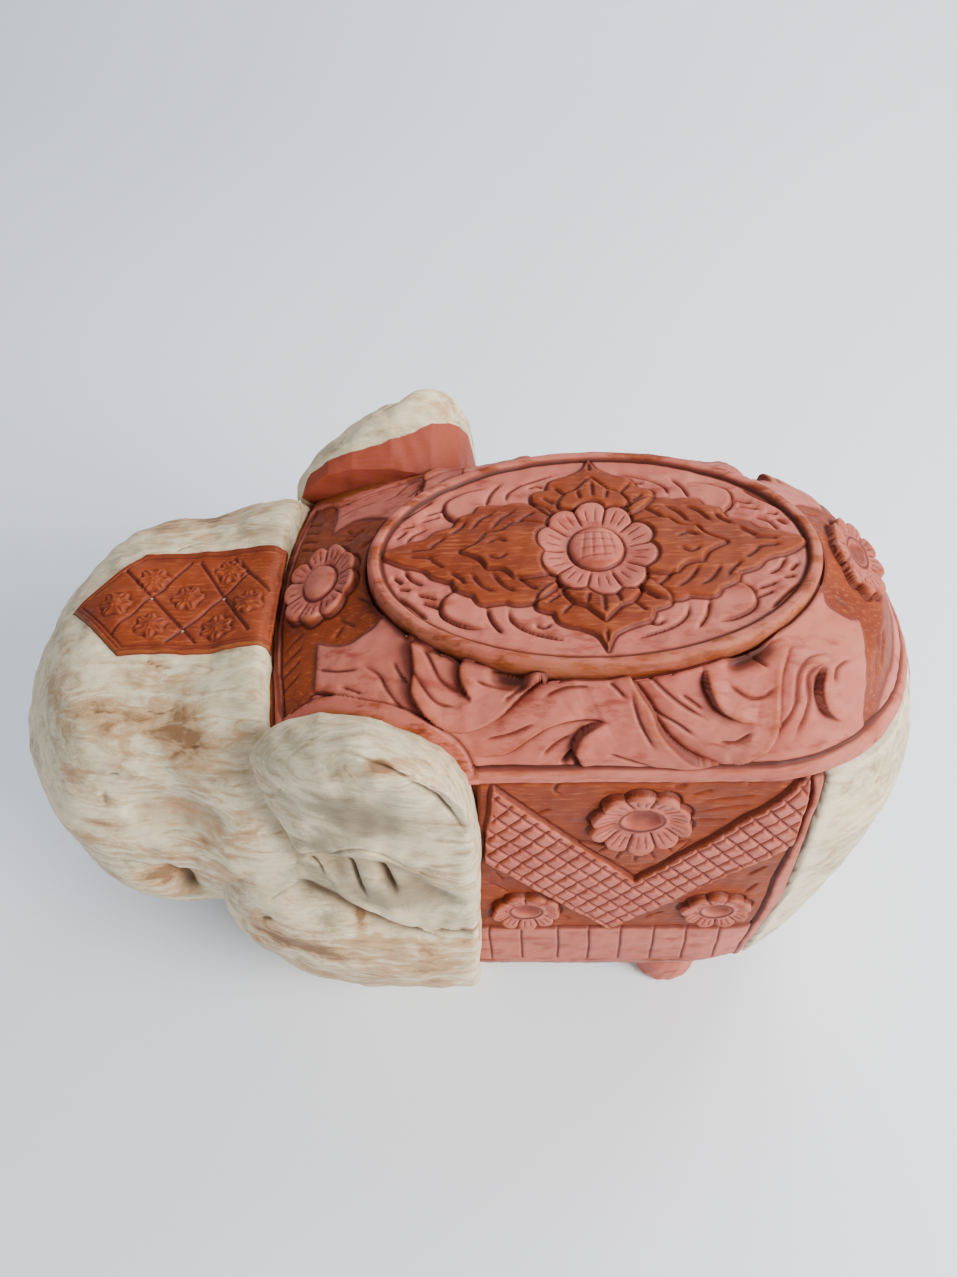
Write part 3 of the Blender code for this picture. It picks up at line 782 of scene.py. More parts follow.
LEAF_CUTS = (
    ((-20, 33), (-14, 45), (-10, 55), (-5, 60), (-1, 61)), ((-20, 50), (-15, 60), (-10, 66), (-3, 68)),
    ((3, 57), (8, 60), (18, 62)), ((27, 93), (32, 87), (37, 83)), ((32, 77), (40, 76), (48, 76)),
    ((61, 56), (66, 62), (75, 71), (83, 77)), ((64, 72), (71, 77), (80, 85)),
    ((90, 62), (97, 67), (103, 67), (107, 63)),
    ((129, 49), (121, 51), (117, 59), (116, 70), (114, 78), (107, 89)),
    ((128, 52), (121, 58), (121, 72), (117, 87)), ((136, 51), (131, 55), (129, 62)),
    ((89, 87), (95, 86), (100, 81)), ((56, 64), (60, 76), (66, 88)), ((6, 84), (16, 81), (24, 76)),
    ((48, 60), (54, 66)), ((13, 66), (20, 60)), ((26, 66), (34, 62), (42, 62)),
    ((50, 90), (58, 94), (66, 97)), ((74, 66), (82, 73)), ((100, 50), (104, 56)), ((-46, 56), (-38, 60)),
    ((-56, 43), (-48, 48), (-39, 49)), ((-38, 47), (-32, 52), (-29, 59), (-22, 71)),
    ((-27, 46), (-24, 53), (-21, 57)), ((-12, 41), (-8, 46)),
)
DEEP_HOLES = (((35, 96), (38, 92), (40, 97)), ((-62, 62), (-57, 56), (-50, 59)))
FRONT_RUST = both_sides((
    (-76, 0), (-76, 0), (-75, 22), (-73, 36), (-69, 52), (-63, 58), (-58, 50), (-57, 38), (-57, 29),
    (-52, 31), (-46, 33), (-40, 31), (-32, 24), (-30, 0),
))
REAR_RUST = (
    (125, 0), (130, 20), (131, 26), (138, 29), (144, 29), (145, 44), (146, 56), (150, 54), (156, 40),
    (163, 25), (166, 0), (163, -25), (156, -40), (150, -54), (146, -56), (145, -44), (144, -29), (138, -29),
    (131, -26), (130, -20),
)
EAR_BAND = ((-64, 61), (-51, 59), (-39, 62), (-21, 68), (-8, 79), (0, 90), (3, 100))
RAIL_TOP = 98
RAIL_FOOT = 104


def half_ring(line_x, line_y, shares):
    """Even steps along an outline from the rump's middle round to the neck's."""
    spans = np.hypot(np.diff(line_x), np.diff(line_y))
    along = np.concatenate(([0.0], np.cumsum(spans)))
    along /= along[-1]
    return np.interp(shares, along, line_x), np.interp(shares, along, line_y)


def full_ring(line_x, line_y, count):
    """A whole even ring, its far side (+Y) first, that starts and ends at the rump's middle."""
    x, y = half_ring(line_x, line_y, np.linspace(0, 1, count // 2 + 1))
    return np.concatenate((x, x[-2::-1])), np.concatenate((y, -y[-2::-1]))


def blanket_rings(count):
    """Control rings of the blanket's surface, from under the seat down to the rail."""
    angle = np.linspace(0, math.pi, 900)
    rings = []
    for grow, z in ((-2.0, DECK_Z), (0.8, DECK_Z - 0.0002), (3.0, DECK_Z - 0.001)):
        x, y = full_ring(SEAT_X + (SEAT_HALF[0] + grow) * MM * np.cos(angle),
                         (SEAT_HALF[1] + grow) * MM * np.sin(angle), count)
        rings.append(np.stack((x, y, np.full_like(x, z)), -1))
    for share in (0.978, 0.945, 0.900, 0.845):
        z = HEM_Z + share * (BODY_TOP_Z - HEM_Z)
        x, y = body_ring(angle, np.full_like(angle, z))
        x, y = full_ring(x, y, count)
        rings.append(np.stack((x, y, np.full_like(x, z)), -1))
    x, y = body_ring(angle, np.full_like(angle, RAIL_Z))
    x, y = full_ring(x, y, count)
    rings.append(np.stack((x, y, np.full_like(x, RAIL_Z)), -1))
    return np.array(rings)


def carve_leaves(carving):
    """The leaf scrolls below the seat."""
    for points, width, depth, lift, fall in LEAF_STEPS:
        carving.gouge(points, width, depth, lift, fall)
    for points in LEAF_CUTS:
        carving.gouge(points, 0.95, 1.3, dark=0.62)
    for points in DEEP_HOLES:
        carving.gouge(points, 1.4, 2.6, dark=1.0, ends=0)


def build_blanket_top(material):
    columns = 860
    rows = 110
    mesh, order, _, v = sheet(columns, rows)
    rings = blanket_rings(columns)
    knots = len(rings) - 1
    widths = np.linalg.norm(np.diff(rings, axis=0), axis=-1).max(1)
    shares = np.concatenate(([0.0], np.cumsum(widths))) / widths.sum()
    place_in = np.interp(v[:, :1], shares, np.arange(knots + 1))
    i = np.clip(place_in.astype(int), 0, knots - 1)
    t = (place_in - i)[..., None]
    i = i[:, 0]
    before = rings[np.clip(i - 1, 0, knots)]
    after = rings[np.clip(i + 2, 0, knots)]
    base = catmull(before, rings[i], rings[i + 1], after, t)
    side_column = int(columns * 0.24)
    steps = np.linalg.norm(np.diff(base[:, side_column], axis=0), axis=-1)
    reach = (base[0, side_column, 1] + np.concatenate(([0.0], np.cumsum(steps)))) / MM
    extra = (reach - base[:, side_column, 1] / MM)[:, None]
    run = np.gradient(base[..., :2], axis=1)
    sideways = np.abs(run[..., 0]) / np.maximum(np.linalg.norm(run, axis=-1), 1e-9)
    x = base[..., 0] / MM
    y = base[..., 1] / MM
    over = np.abs(y) + extra * smooth(0.25, 0.75, sideways)
    carving = Carving(x + 0.5 * waver(x, y, 40, 21), over + 0.5 * waver(x, y, 36, 22))
    carve_leaves(carving)
    carve_flower_zones(carving, x, y)
    carve_rail(carving, reach[:, None] + 0 * x, x, y)
    carve_ear_band(carving)
    base[..., 2] += seat_slope(base[..., 0], base[..., 2])
    write_ring(mesh, order, base, carving, (rows // 4, side_column, 2))

    def inward(co):
        if co.z > DECK_Z - 0.006 + SEAT_RISE * (co.x - SEAT_X) * 1.1:
            return (0, 0, -0.005)
        away = Vector((co.x - SEAT_X, co.y, 0)).normalized()
        return (-away.x * SHELL, -away.y * SHELL, 0)

    bm, back = close_back(mesh, inward)
    seal(bm, mesh, back, bridge=True)
    place("blanket_top", mesh, material, ["body_block"])


def carve_flower_zones(carving, x, y):
    """The rust zones at the neck and rump, with their flowers, and the border at the neck."""
    zones = Carving(x + 0.5 * waver(x, y, 30, 23), y)
    zones.shape(FRONT_RUST, -0.9, 2.0, rust=1.0, groove=1.1, depth=0.8)
    zones.shape(REAR_RUST, -0.9, 2.0, rust=1.0, groove=1.1, depth=0.8)
    for side in (1, -1):
        for spread in (28, 34, 40, 46):
            zones.gouge(((-73 + spread * 0.05, side * spread), (-63, side * (spread - 6))), 0.8, 0.9)
        for start, end in (((-49, 21), (-42, 27)), ((-44, 13), (-34, 20)), ((-47, 25), (-50, 29)),
                           ((140, 25), (134, 22)), ((152, 30), (150, 45)), ((156, 27), (153, 40))):
            zones.gouge(mirrored((start, end), 1, side), 0.8, 1.0)
    zones.flower((-58, -0.5), 14.5, 19.5, 9, rise=2.0, turn=0.3, dome=2.2, heart=0.46, seed=6)
    zones.flower((150, 4), 10, 21, 9, rise=1.8, turn=0.2, dish=1.5, heart=0.40, seed=9)
    inner = zones.a - (-74.5 + 0.0022 * y * y)
    outer = zones.a - (-78.0 + 0.0021 * y * y)
    neck = np.abs(y) < 66
    # The neck's border grooves are darkened as painted shade.
    for border in (inner, outer):
        cut = np.exp(-1.6 * (border / 0.75) ** 2) * neck
        zones.height -= 1.2 * cut
        zones.cut = np.maximum(zones.cut, cut)
    strip = smooth(0.4, -0.2, inner) * smooth(-0.2, 0.4, outer) * neck
    zones.rust = np.where(neck, zones.rust * (1 - strip), zones.rust)
    outside = smooth(0.2, -0.6, outer) * neck
    zones.rust = np.maximum(zones.rust, outside)
    zones.wear_and_shade = np.maximum(zones.wear_and_shade, 0.8 * outside)
    covered = np.clip(zones.rust + (zones.height > 0.3) + strip, 0, 1)
    carving.height = carving.height * (1 - covered) + zones.height
    carving.cut = np.maximum(carving.cut * (1 - covered), zones.cut)
    carving.rust = np.maximum(carving.rust, zones.rust)
    carving.wear_and_shade = np.maximum(carving.wear_and_shade, zones.wear_and_shade)


def carve_ear_band(carving):
    """The smooth strip that follows the top of the ear, rust on its outer edge."""
    line = smooth_curve(EAR_BAND)
    distance, _, side = line_distance(carving.a, carving.b, line)
    signed = np.where(side > 0, distance, -distance)
    spot = (carving.a < 6) & (carving.a > -70)
    below = smooth(0.0, 1.2, signed) * spot
    carving.height = carving.height * (1 - below)
    carving.cut *= 1 - below
    # The groove along the band is darkened as painted shade.
    cut = np.exp(-1.6 * (signed / 0.9) ** 2) * spot
    carving.height -= 0.9 * cut
    carving.cut = np.maximum(carving.cut, 0.5 * cut)
    carving.rust = np.where(below > 0.5, 0.45, carving.rust)
    carving.wear_and_shade = np.maximum(carving.wear_and_shade, 0.9 * smooth(5.0, 9.0, signed) * spot)


def carve_rail(carving, reach, x, y):
    """Two grooves round the blanket with a raised band between, and the deep pockets under the seat's rim;
    the seat's foot and the pockets are darkened as painted shade.
    """
    level = reach + 0.5 * waver(x, y, 70, 31)
    band = smooth(RAIL_TOP - 0.5, RAIL_TOP + 1.0, level)
    carving.height = carving.height * (1 - band) + 0.7 * band
    carving.cut *= 1 - band
    carving.rust *= 1 - band
    carving.sharp_groove(level - RAIL_TOP, 1.1, 1.5)
    carving.height -= 1.2 * smooth(RAIL_FOOT - 1.6, RAIL_FOOT, level)
    away = np.hypot((x - SEAT_X / MM) / SEAT_HALF[0], y / SEAT_HALF[1])
    from_seat = (away - 1) * SEAT_HALF[1]
    # Painted shade at the seat's foot and in the pockets under its rim.
    foot = np.exp(-1.6 * (np.maximum(from_seat, 0) / 1.6) ** 2)
    carving.height -= 0.6 * foot
    carving.cut = np.maximum(carving.cut, 0.9 * foot)
    for low, high, deep in ((8, 22, 3.0), (90, 107, 3.6)):
        middle = (low + high) / 2
        pocket = np.exp(-((x - middle) / (high - low) * 2.1) ** 4) * (y < 0) * smooth(7.5, 3.5, from_seat)
        carving.height -= deep * pocket
        carving.cut = np.maximum(carving.cut, pocket)
    carving.height += 0.16 * waver(x, carving.b, 11, 33) + 0.22 * waver(x, carving.b, 30, 34)


# ---------------------------------------------------------------- side panels

# Points on the flank are (along the body, height), in mm.
BAND = ((9, 194), (70, 121), (126, 201), (130, 154), (64, 73), (6, 139))
BAND_PITCH = 7.5
PANEL_START = 3.6
BORDER_IN = ((122, 212), (123, 208), (129, 188), (130, 156), (130, 121), (132, 92), (131, 47), (131, 20))
BORDER_OUT = ((128, 216), (129, 212), (133, 193), (134, 160), (139, 102), (136, 51), (135, 20))
PANEL_LEAF = (
    (43, 154), (43, 154), (56, 141), (67, 133), (67, 133), (80, 139), (87, 154), (87, 154), (67, 150),
)
PANEL_CUTS = (
    ((81, 194), (76, 193)), ((91, 191), (83, 188)), ((109, 188), (88, 184)), ((108, 181), (88, 178)),
    ((101, 171), (88, 171)), ((34, 197), (32, 191), (35, 188)), ((31, 179), (26, 176)),
    ((101, 203), (103, 198), (103, 194)), ((52, 146), (57, 152)), ((60, 140), (62, 148)),
    ((68, 138), (68, 148)), ((76, 141), (73, 148)), ((82, 147), (78, 152)), ((8, 118), (17, 108)),
    ((10, 128), (14, 120)), ((38, 106), (32, 102)), ((40, 84), (46, 80)), ((88, 88), (80, 82)),
    ((97, 108), (92, 114)), ((120, 108), (124, 116)), ((121, 82), (127, 78)), ((118, 124), (124, 132)),
    ((8, 82), (13, 86)), ((52, 84), (60, 78)),
)
FRINGE_LINES = (10, 25, 42, 56.5, 71.5, 87, 102, 117.5)
FRINGE_TOP = 72
FRINGE_FOOT = 36


def edge_x(line, z):
    points = np.array(line[::-1], float)
    return np.interp(z, points[:, 1], points[:, 0])


def carve_lattice(carving):
    """The V band of raised squares."""
    line = smooth_curve(straight(BAND), closed=True)
    distance, _, _ = line_distance(carving.a, carving.b, line)
    signed = np.where(inside(carving.a, carving.b, line), distance, -distance)
    share = smooth(-0.5, 0.6, signed)
    a = carving.a - 66
    b = carving.b - 97
    left = (a * 0.767 + b * 0.641) / BAND_PITCH
    right = (a * -0.819 + b * 0.573) / BAND_PITCH
    left_arm = smooth(-3, 3, -a)
    grooves = np.zeros_like(a)
    for rows in (left, right):
        off = np.abs(rows - np.round(rows)) * BAND_PITCH
        grooves = np.maximum(grooves, np.exp(-1.6 * (off / 0.85) ** 2))
    grooves *= smooth(0.4, 1.2, signed)
    slant = (left - np.floor(left)) - 0.5
    carving.height = carving.height * (1 - share) + (1.5 - 1.4 * grooves + 0.5 * slant) * share
    carving.height -= 0.25 * share * left_arm * (1 - smooth(1.0, 3.0, signed))
    # The lattice grooves and the moat round the band are darkened as painted shade.
    moat = np.exp(-1.6 * ((signed + 0.6) / 0.8) ** 2)
    carving.height -= 0.9 * moat
    carving.cut = np.maximum(carving.cut * (1 - share), np.maximum(0.60 * grooves * share, 0.75 * moat))
    carving.rust *= 1 - smooth(-0.1, 0.7, signed)


def carve_panel(carving):
    a = carving.a
    b = carving.b
    carving.rust[:] = 1.0
    carving.height[:] = -1.0
    for points in PANEL_CUTS:
        carving.gouge(points, 0.85, 1.1)
    carving.shape(PANEL_LEAF, 0.8, 1.6, 0.4, rust=1.0)
    carve_lattice(carving)
    carving.flower((66.5, 170), 20.5, 20.5, 10, rise=2.2, turn=0.2, dish=2.2, heart=0.42, seed=4,
                   shift=(0, 5.5))
    carving.flower((25.5, 90.5), 16, 15.5, 9, rise=2.0, turn=0.1, dish=2.0, heart=0.46, seed=5,
                   shift=(0, 2.5))
    carving.flower((110, 92), 15.5, 15, 9, rise=2.0, turn=0.4, dish=2.0, heart=0.46, seed=8,
                   shift=(0, 1.5))
    fringe = smooth(FRINGE_TOP + 0.6, FRINGE_TOP - 0.4, b)
    foot = smooth(FRINGE_FOOT + 1.2, FRINGE_FOOT - 0.6, b)
    carving.height = carving.height * (1 - fringe) + 0.5 * fringe - 1.4 * foot
    carving.cut *= 1 - fringe
    carving.rust *= 1 - fringe
    carving.rust = np.maximum(carving.rust, 0.42 * foot)
    for place_x in FRINGE_LINES:
        carving.gouge(((place_x - 1.2, FRINGE_TOP), (place_x + 0.8, FRINGE_FOOT)), 0.7, 0.9, dark=0.8, ends=0)
    carving.sharp_groove(b - FRINGE_TOP, 0.8, 0.9, 0.8)
    carving.sharp_groove(b - FRINGE_FOOT + 0.5, 0.7, 0.6, 0.7)
    inner = a - edge_x(BORDER_IN, b)
    strip = smooth(-0.3, 0.5, inner)
    carving.height = carving.height * (1 - strip) + 0.4 * strip
    carving.cut *= 1 - strip
    carving.rust *= 1 - strip
    carving.sharp_groove(inner, 1.0, 1.5)
    # Painted shade along the panel's outer edge and its front edge.
    outer = edge_x(BORDER_OUT, b) - a
    carving.height -= 1.6 * smooth(1.6, 0.0, outer)
    carving.cut = np.maximum(carving.cut, smooth(1.4, 0.2, outer))
    top = RAIL_Z / MM - b
    carving.sharp_groove(top - 1.0, 1.2, 1.4)
    front = a - PANEL_START
    carving.cut = np.maximum(carving.cut, 0.8 * smooth(1.2, 0.0, front))
    carving.height -= smooth(1.2, 0.0, front)
    carving.height += 0.14 * waver(a, b, 9, 41) + 0.2 * waver(a, b, 28, 42)


def build_side_panel(word, side, material):
    mesh, order, u, v = sheet(238, 318)
    z = HEM_Z / MM + v * (RAIL_Z - HEM_Z) / MM
    x = PANEL_START + u * (edge_x(BORDER_OUT, z) + 0.3 - PANEL_START)
    carving = Carving(x + 0.35 * waver(x, z, 34, 43 + side), z + 0.35 * waver(x, z, 31, 45 + side))
    carve_panel(carving)
    y = side * body_side(x * MM, z * MM)
    z = z * MM
    points = np.stack((x * MM, y, z + seat_slope(x * MM, z)), -1)
    normal = normals_of(points)
    normal *= np.sign(normal[..., 1:2]) * side
    write_points(mesh, order, points + normal * (carving.height * MM - 0.0004)[..., None])
    write_carving(mesh, carving, order)
    bm, back = close_back(mesh, lambda co: (0, -side * SHELL, 0))
    seal(bm, mesh, back)
    place(f"blanket_side_{word}", mesh, material, ["body_block"])


# ---------------------------------------------------------------- bare body under the blanket

BELLY_X = 0.05                     # middle of the body's underside


def build_body_core(material):
    """The whitewashed rump, and the body's underside and front."""
    columns = 420
    levels = np.concatenate((np.linspace(0.0, 0.10, 22), np.linspace(0.105, 0.875, 110)))
    mesh, order, _, _ = sheet(columns, len(levels) - 1)
    angle = np.linspace(0, math.pi, 900)
    rings = []
    for share in levels:
        z = HEM_Z + share * (BODY_TOP_Z - HEM_Z)
        x, y = body_ring(angle, np.full_like(angle, z))
        x, y = full_ring(x, y, columns)
        rings.append(np.stack((x, y, np.full_like(x, z)), -1))
    base = np.array(rings)
    x = base[..., 0] / MM
    y = base[..., 1] / MM
    z = base[..., 2] / MM
    carving = Carving(y, z)
    edge = x - edge_x(BORDER_OUT, z)
    under = smooth(1.5, -0.5, edge)
    rail = smooth(RAIL_Z / MM - 3, RAIL_Z / MM + 1, z)
    carving.height += 0.35 * waver(y + x, z, 26, 51) + 0.7 * waver(y - x, z, 70, 52)
    carving.height -= 5.2 * np.maximum(under, rail)
    # Painted shade under the blanket panel's edge and under the rail.
    carving.cut = np.maximum(carving.cut, 0.9 * np.exp(-1.6 * ((edge - 0.5) / 1.2) ** 2) * (z < 206))
    carving.cut = np.maximum(carving.cut, 0.6 * np.exp(-1.6 * ((z - RAIL_Z / MM + 2.5) / 1.2) ** 2))
    strap = smooth(15.5, 14.5, np.abs(y)) * (x > 150) * smooth(70, 72, z)
    carving.rust += 0.9 * strap
    carving.height += 0.8 * strap * (1 - rail)
    carving.rust += smooth(18, 12, x) * (x > -20) * smooth(60, 64, z)
    for side in (-1, 1):
        for up in range(80, 190, 9):
            carving.gouge(((side * 1.5, up), (side * 12, up + 7)), 0.8, 1.0)
    front_cuts = x < 150
    carving.cut[front_cuts] = np.where(edge > 6, 0, carving.cut)[front_cuts]
    base[..., 2] += seat_slope(base[..., 0], base[..., 2])
    write_ring(mesh, order, base, carving, (60, columns // 4, 1))
    bm = bmesh.new()
    bm.from_mesh(mesh)
    bmesh.ops.remove_doubles(bm, verts=bm.verts, dist=1e-6)
    for inset in (0.004, 0.010):
        low = [edge for edge in bm.edges if edge.is_boundary and edge.verts[0].co.z < 0.1]
        grown = bmesh.ops.extrude_edge_only(bm, edges=low)["geom"]
        for vertex in (item for item in grown if isinstance(item, bmesh.types.BMVert)):
            away = Vector((vertex.co.x - BELLY_X, vertex.co.y, 0)).normalized()
            vertex.co -= away * inset
            vertex.co.z = HEM_Z + 0.0002
    seal(bm, mesh, [edge for edge in bm.edges if edge.is_boundary])
    place("body_core", mesh, material, ["body_block"])


# ---------------------------------------------------------------- head, ears and legs

def soft_copy(node, voxel, rounds, split=1):
    """A finely meshed, softened copy of a CAD block, as a new mesh."""
    mesh = node.data.copy()
    mesh.transform(node.matrix_world)
    bm = bmesh.new()
    bm.from_mesh(mesh)
    bmesh.ops.remove_doubles(bm, verts=bm.verts, dist=1e-6)
    bm.to_mesh(mesh)
    bm.free()
    block = bpy.data.objects.new("block", mesh)
    bpy.context.scene.collection.objects.link(block)
    remesh = block.modifiers.new("even", "REMESH")
    remesh.mode = "VOXEL"
    remesh.voxel_size = voxel
    soften = block.modifiers.new("soften", "SMOOTH")
    soften.factor = 0.5
    soften.iterations = rounds
    finer = block.modifiers.new("finer", "SUBSURF")
    finer.levels = finer.render_levels = split
    made = bpy.data.meshes.new_from_object(block.evaluated_get(bpy.context.evaluated_depsgraph_get()))
    bpy.data.objects.remove(block)
    bpy.data.meshes.remove(mesh)
    return made


class Sculpt:
    """Free-form work on a block, in millimetres."""

    def __init__(self, mesh):
        self.mesh = mesh
        count = len(mesh.vertices)
        flat = np.empty(count * 3, np.float32)
        mesh.vertices.foreach_get("co", flat)
        self.points = flat.reshape(-1, 3).astype(float) / MM
        flat = np.empty(count * 3, np.float32)
        mesh.vertex_normals.foreach_get("vector", flat)
        self.normals = flat.reshape(-1, 3).astype(float)
        self.lift = np.zeros(count)
        self.cut = np.zeros(count)
        self.rust = np.zeros(count)
        self.wear_and_shade = np.zeros(count)

    def bulge(self, centre, size, height):
        off = (self.points - centre) / size
        self.lift += height * np.exp(-(off ** 2).sum(1))

    def crease(self, points, width=1.4, depth=2.0, dark=0.6, soft=0.0, spread=8.0):
        """A cut along a line in space, darkened as painted shade, with an optional wide soft hollow round it.
        """
        ends = [self.points[((self.points - point) ** 2).sum(1).argmin()] for point in points]
        line = smooth_curve3(ends)
        reach = np.full(len(self.points), 1e12)
        along = np.zeros(len(self.points))
        for i, (start, end) in enumerate(zip(line, line[1:])):
            run = end - start
            share = np.clip(((self.points - start) @ run) / max(run @ run, 1e-9), 0, 1)
            distance = ((self.points - start - share[:, None] * run) ** 2).sum(1)
            closer = distance < reach
            reach = np.where(closer, distance, reach)
            along = np.where(closer, (i + share) / (len(line) - 1), along)
        reach = np.sqrt(reach)
        taper = np.clip(np.minimum(along, 1 - along) / 0.2, 0.15, 1)
        cut = np.exp(-1.6 * (reach / width) ** 2) * taper
        self.lift -= depth * cut + soft * np.exp(-(reach / spread) ** 2) * taper
        self.cut = np.maximum(self.cut, cut * dark)

    def stain_and_shade(self, centre, size, amount):
        """A patch where the wash is thin or dirty; a negative amount paints shade."""
        off = (self.points - centre) / size
        self.wear_and_shade += amount * np.exp(-(off ** 2).sum(1))

    def mark(self, creases, stains_and_shade, side, share=1.0):
        """The creases, the stained patches and the painted shade of the near side, on either side."""
        for points, width, depth, dark, soft, spread in creases:
            self.crease(mirror_points(points, side), width, depth, dark, soft, spread)
        for centre, size, amount in stains_and_shade:
            self.stain_and_shade(mirror_points([centre], side)[0], size, amount * share)

    def carve_marks(self, size, height, seed):
        """Uneven hand-cut surface."""
        p = self.points
        self.lift += height * waver(p[:, 0] + p[:, 1] * 0.6, p[:, 2] - p[:, 1] * 0.5, size, seed)
        along = p[:, 0] - p[:, 2] * 0.5
        self.lift += height * 0.5 * waver(along, p[:, 1] + p[:, 2] * 0.4, size * 0.5, seed + 1)

    def done(self, low, high):
        moved = self.points + self.normals * self.lift[:, None]
        moved = np.clip(moved * MM, np.array(low), np.array(high))
        self.mesh.vertices.foreach_set("co", moved.astype(np.float32).ravel())
        self.mesh.update()
        write_field(self.mesh, "rust", np.clip(self.rust, 0, 1))
        write_field(self.mesh, "cut", np.clip(self.cut, 0, 1))
        write_field(self.mesh, "wear_and_shade", np.clip(self.wear_and_shade, -1, 2))
        # The lift also drives the painted highlight and painted shade of the whitewash.
        write_field(self.mesh, "relief", np.clip(self.lift * 0.2, -1, 1))


def smooth_curve3(points, steps=5):
    points = np.array(points, float)
    last = len(points) - 1
    line = [catmull(points[max(i - 1, 0)], points[i], points[i + 1], points[min(i + 2, last)], step / steps)
            for i in range(last) for step in range(steps)]
    line.append(points[-1])
    return np.array(line)


def mirror_points(points, side):
    """Points worked on the near side, moved to the other side where side is +1."""
    return [(x, -side * y, z) for x, y, z in points]


# Creases on the near side of the head, as (along, across, height) in mm.
HEAD_CREASES = (
    # points, width, depth, darkness of the painted shade, soft hollow, its spread
    (((-139, -68, 180), (-125, -70, 178), (-104, -68, 181), (-88, -69, 180)), 1.6, 1.2, 0.40, 0.0, 8),
    (((-137, -69, 168), (-120, -70, 167), (-103, -70, 167), (-88, -70, 166)), 6.0, 0.8, 0.05, 4.2, 11),
    (((-139, -68, 181), (-141, -69, 171)), 1.3, 1.2, 0.45, 0.6, 5),
    (((-129, -71, 148), (-119, -71, 151), (-102, -71, 150), (-86, -71, 154)), 1.1, 1.4, 0.45, 1.0, 8),
    (((-154, -69, 124), (-143, -72, 127), (-134, -72, 122), (-126, -72, 122)), 1.2, 1.6, 0.55, 1.4, 8),
    (((-127, -72, 123), (-125, -71, 108), (-126, -67, 92)), 4.2, 5.5, 1.0, 3.4, 9),
    (((-124, -29, 212), (-119, -32, 212), (-112, -34, 212)), 0.55, 0.8, 0.95, 0.0, 8),
    (((-121, -49, 207), (-114, -51, 207), (-106, -49, 208)), 0.6, 0.7, 0.70, 0.0, 8),
    (((-102, -61, 200), (-98, -59, 201), (-93, -59, 201)), 0.6, 0.8, 0.80, 0.0, 8),
    (((-136, -66, 189), (-131, -66, 189)), 0.9, 0.8, 0.70, 0.0, 8),
    (((-140, -48, 203), (-132, -50, 205)), 0.7, 0.6, 0.60, 0.0, 8),
)
HEAD_BULGES = (
    ((-152, -64, 172), (12, 12, 16), 2.0), ((-118, -70, 136), (18, 12, 10), 2.2),
    ((-146, -68, 106), (18, 14, 13), 2.0), ((-112, -60, 196), (26, 14, 14), 1.6),
    ((-150, -40, 200), (18, 18, 12), 1.2), ((-98, -70, 118), (16, 12, 18), 2.4),
)
HEAD_STAINS = (
    ((-115, -76, 118), (26, 12, 12), 0.8), ((-90, -78, 126), (14, 12, 10), 0.6),
    ((-104, -72, 152), (22, 12, 6), 0.7), ((-150, -66, 144), (14, 12, 8), 0.8),
    ((-134, -72, 112), (16, 12, 8), 1.0), ((-106, -69, 168), (22, 12, 8), 1.0),
    ((-103, -61, 198), (13, 12, 5), 1.1), ((-147, -69, 158), (7, 8, 4), 1.5),
    ((-100, -60, 206), (16, 12, 5), 0.5), ((-120, -71, 136), (20, 12, 6), 0.7),
    ((-150, -60, 186), (9, 10, 7), 0.6), ((-138, -46, 204), (9, 8, 6), 0.9),
    ((-96, -68, 140), (16, 12, 9), 0.8), ((-112, -66, 182), (24, 9, 3), 0.7),
    ((-84, -72, 164), (10, 14, 12), 0.9), ((-160, -60, 130), (9, 12, 14), 0.6),
    ((-130, -70, 118), (14, 10, 6), 0.8), ((-146, -64, 96), (16, 12, 8), 0.7),
    ((-118, -34, 211), (26, 8, 3), 0.5), ((-130, 52, 204), (34, 12, 8), 0.95),
    ((-100, 56, 208), (22, 12, 8), 0.9), ((-158, 30, 200), (14, 16, 8), 0.6),
)


def build_head(material):
    sculpt = Sculpt(soft_copy(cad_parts["head_block"], 0.0024, 6))
    x, y, z = sculpt.points.T
    near_neck = smooth(-118, -88, x)
    sculpt.points[:, 2] += near_neck * 7.0 * np.exp(-((np.abs(y) - 52) / 24) ** 2) * smooth(150, 200, z)
    sculpt.points[:, 2] += smooth(-100, -86, x) * 4.0 * smooth(185, 205, z)
    cheek = 0.10 * np.exp(-((z - 150) / 30) ** 2)
    sculpt.points[:, 1] *= 1 + (0.07 + cheek) * near_neck * smooth(70, 130, z)
    sculpt.points[:, 0] += smooth(-97, -85, x) * (5.5 + 0.0024 * y * y)
    for side in (-1, 1):
        for centre, size, height in HEAD_BULGES:
            sculpt.bulge(mirror_points([centre], side)[0], size, height)
        sculpt.mark(HEAD_CREASES, HEAD_STAINS, side, 1.0 if side < 0 else 0.8)
    for height in (20, 34, 48, 62):
        sculpt.crease(((-188 + height * 0.2, -26, height + 4), (-192 + height * 0.2, 0, height),
                       (-188 + height * 0.2, 26, height + 4)), 1.6, 1.6, 0.5)
    sculpt.carve_marks(46, 0.8, 61)
    sculpt.carve_marks(16, 0.28, 63)
    sculpt.done(CAD_BOUNDS[0], CAD_BOUNDS[1])
    place("head_carving", sculpt.mesh, material, ["head_block"])
    return sculpt.mesh


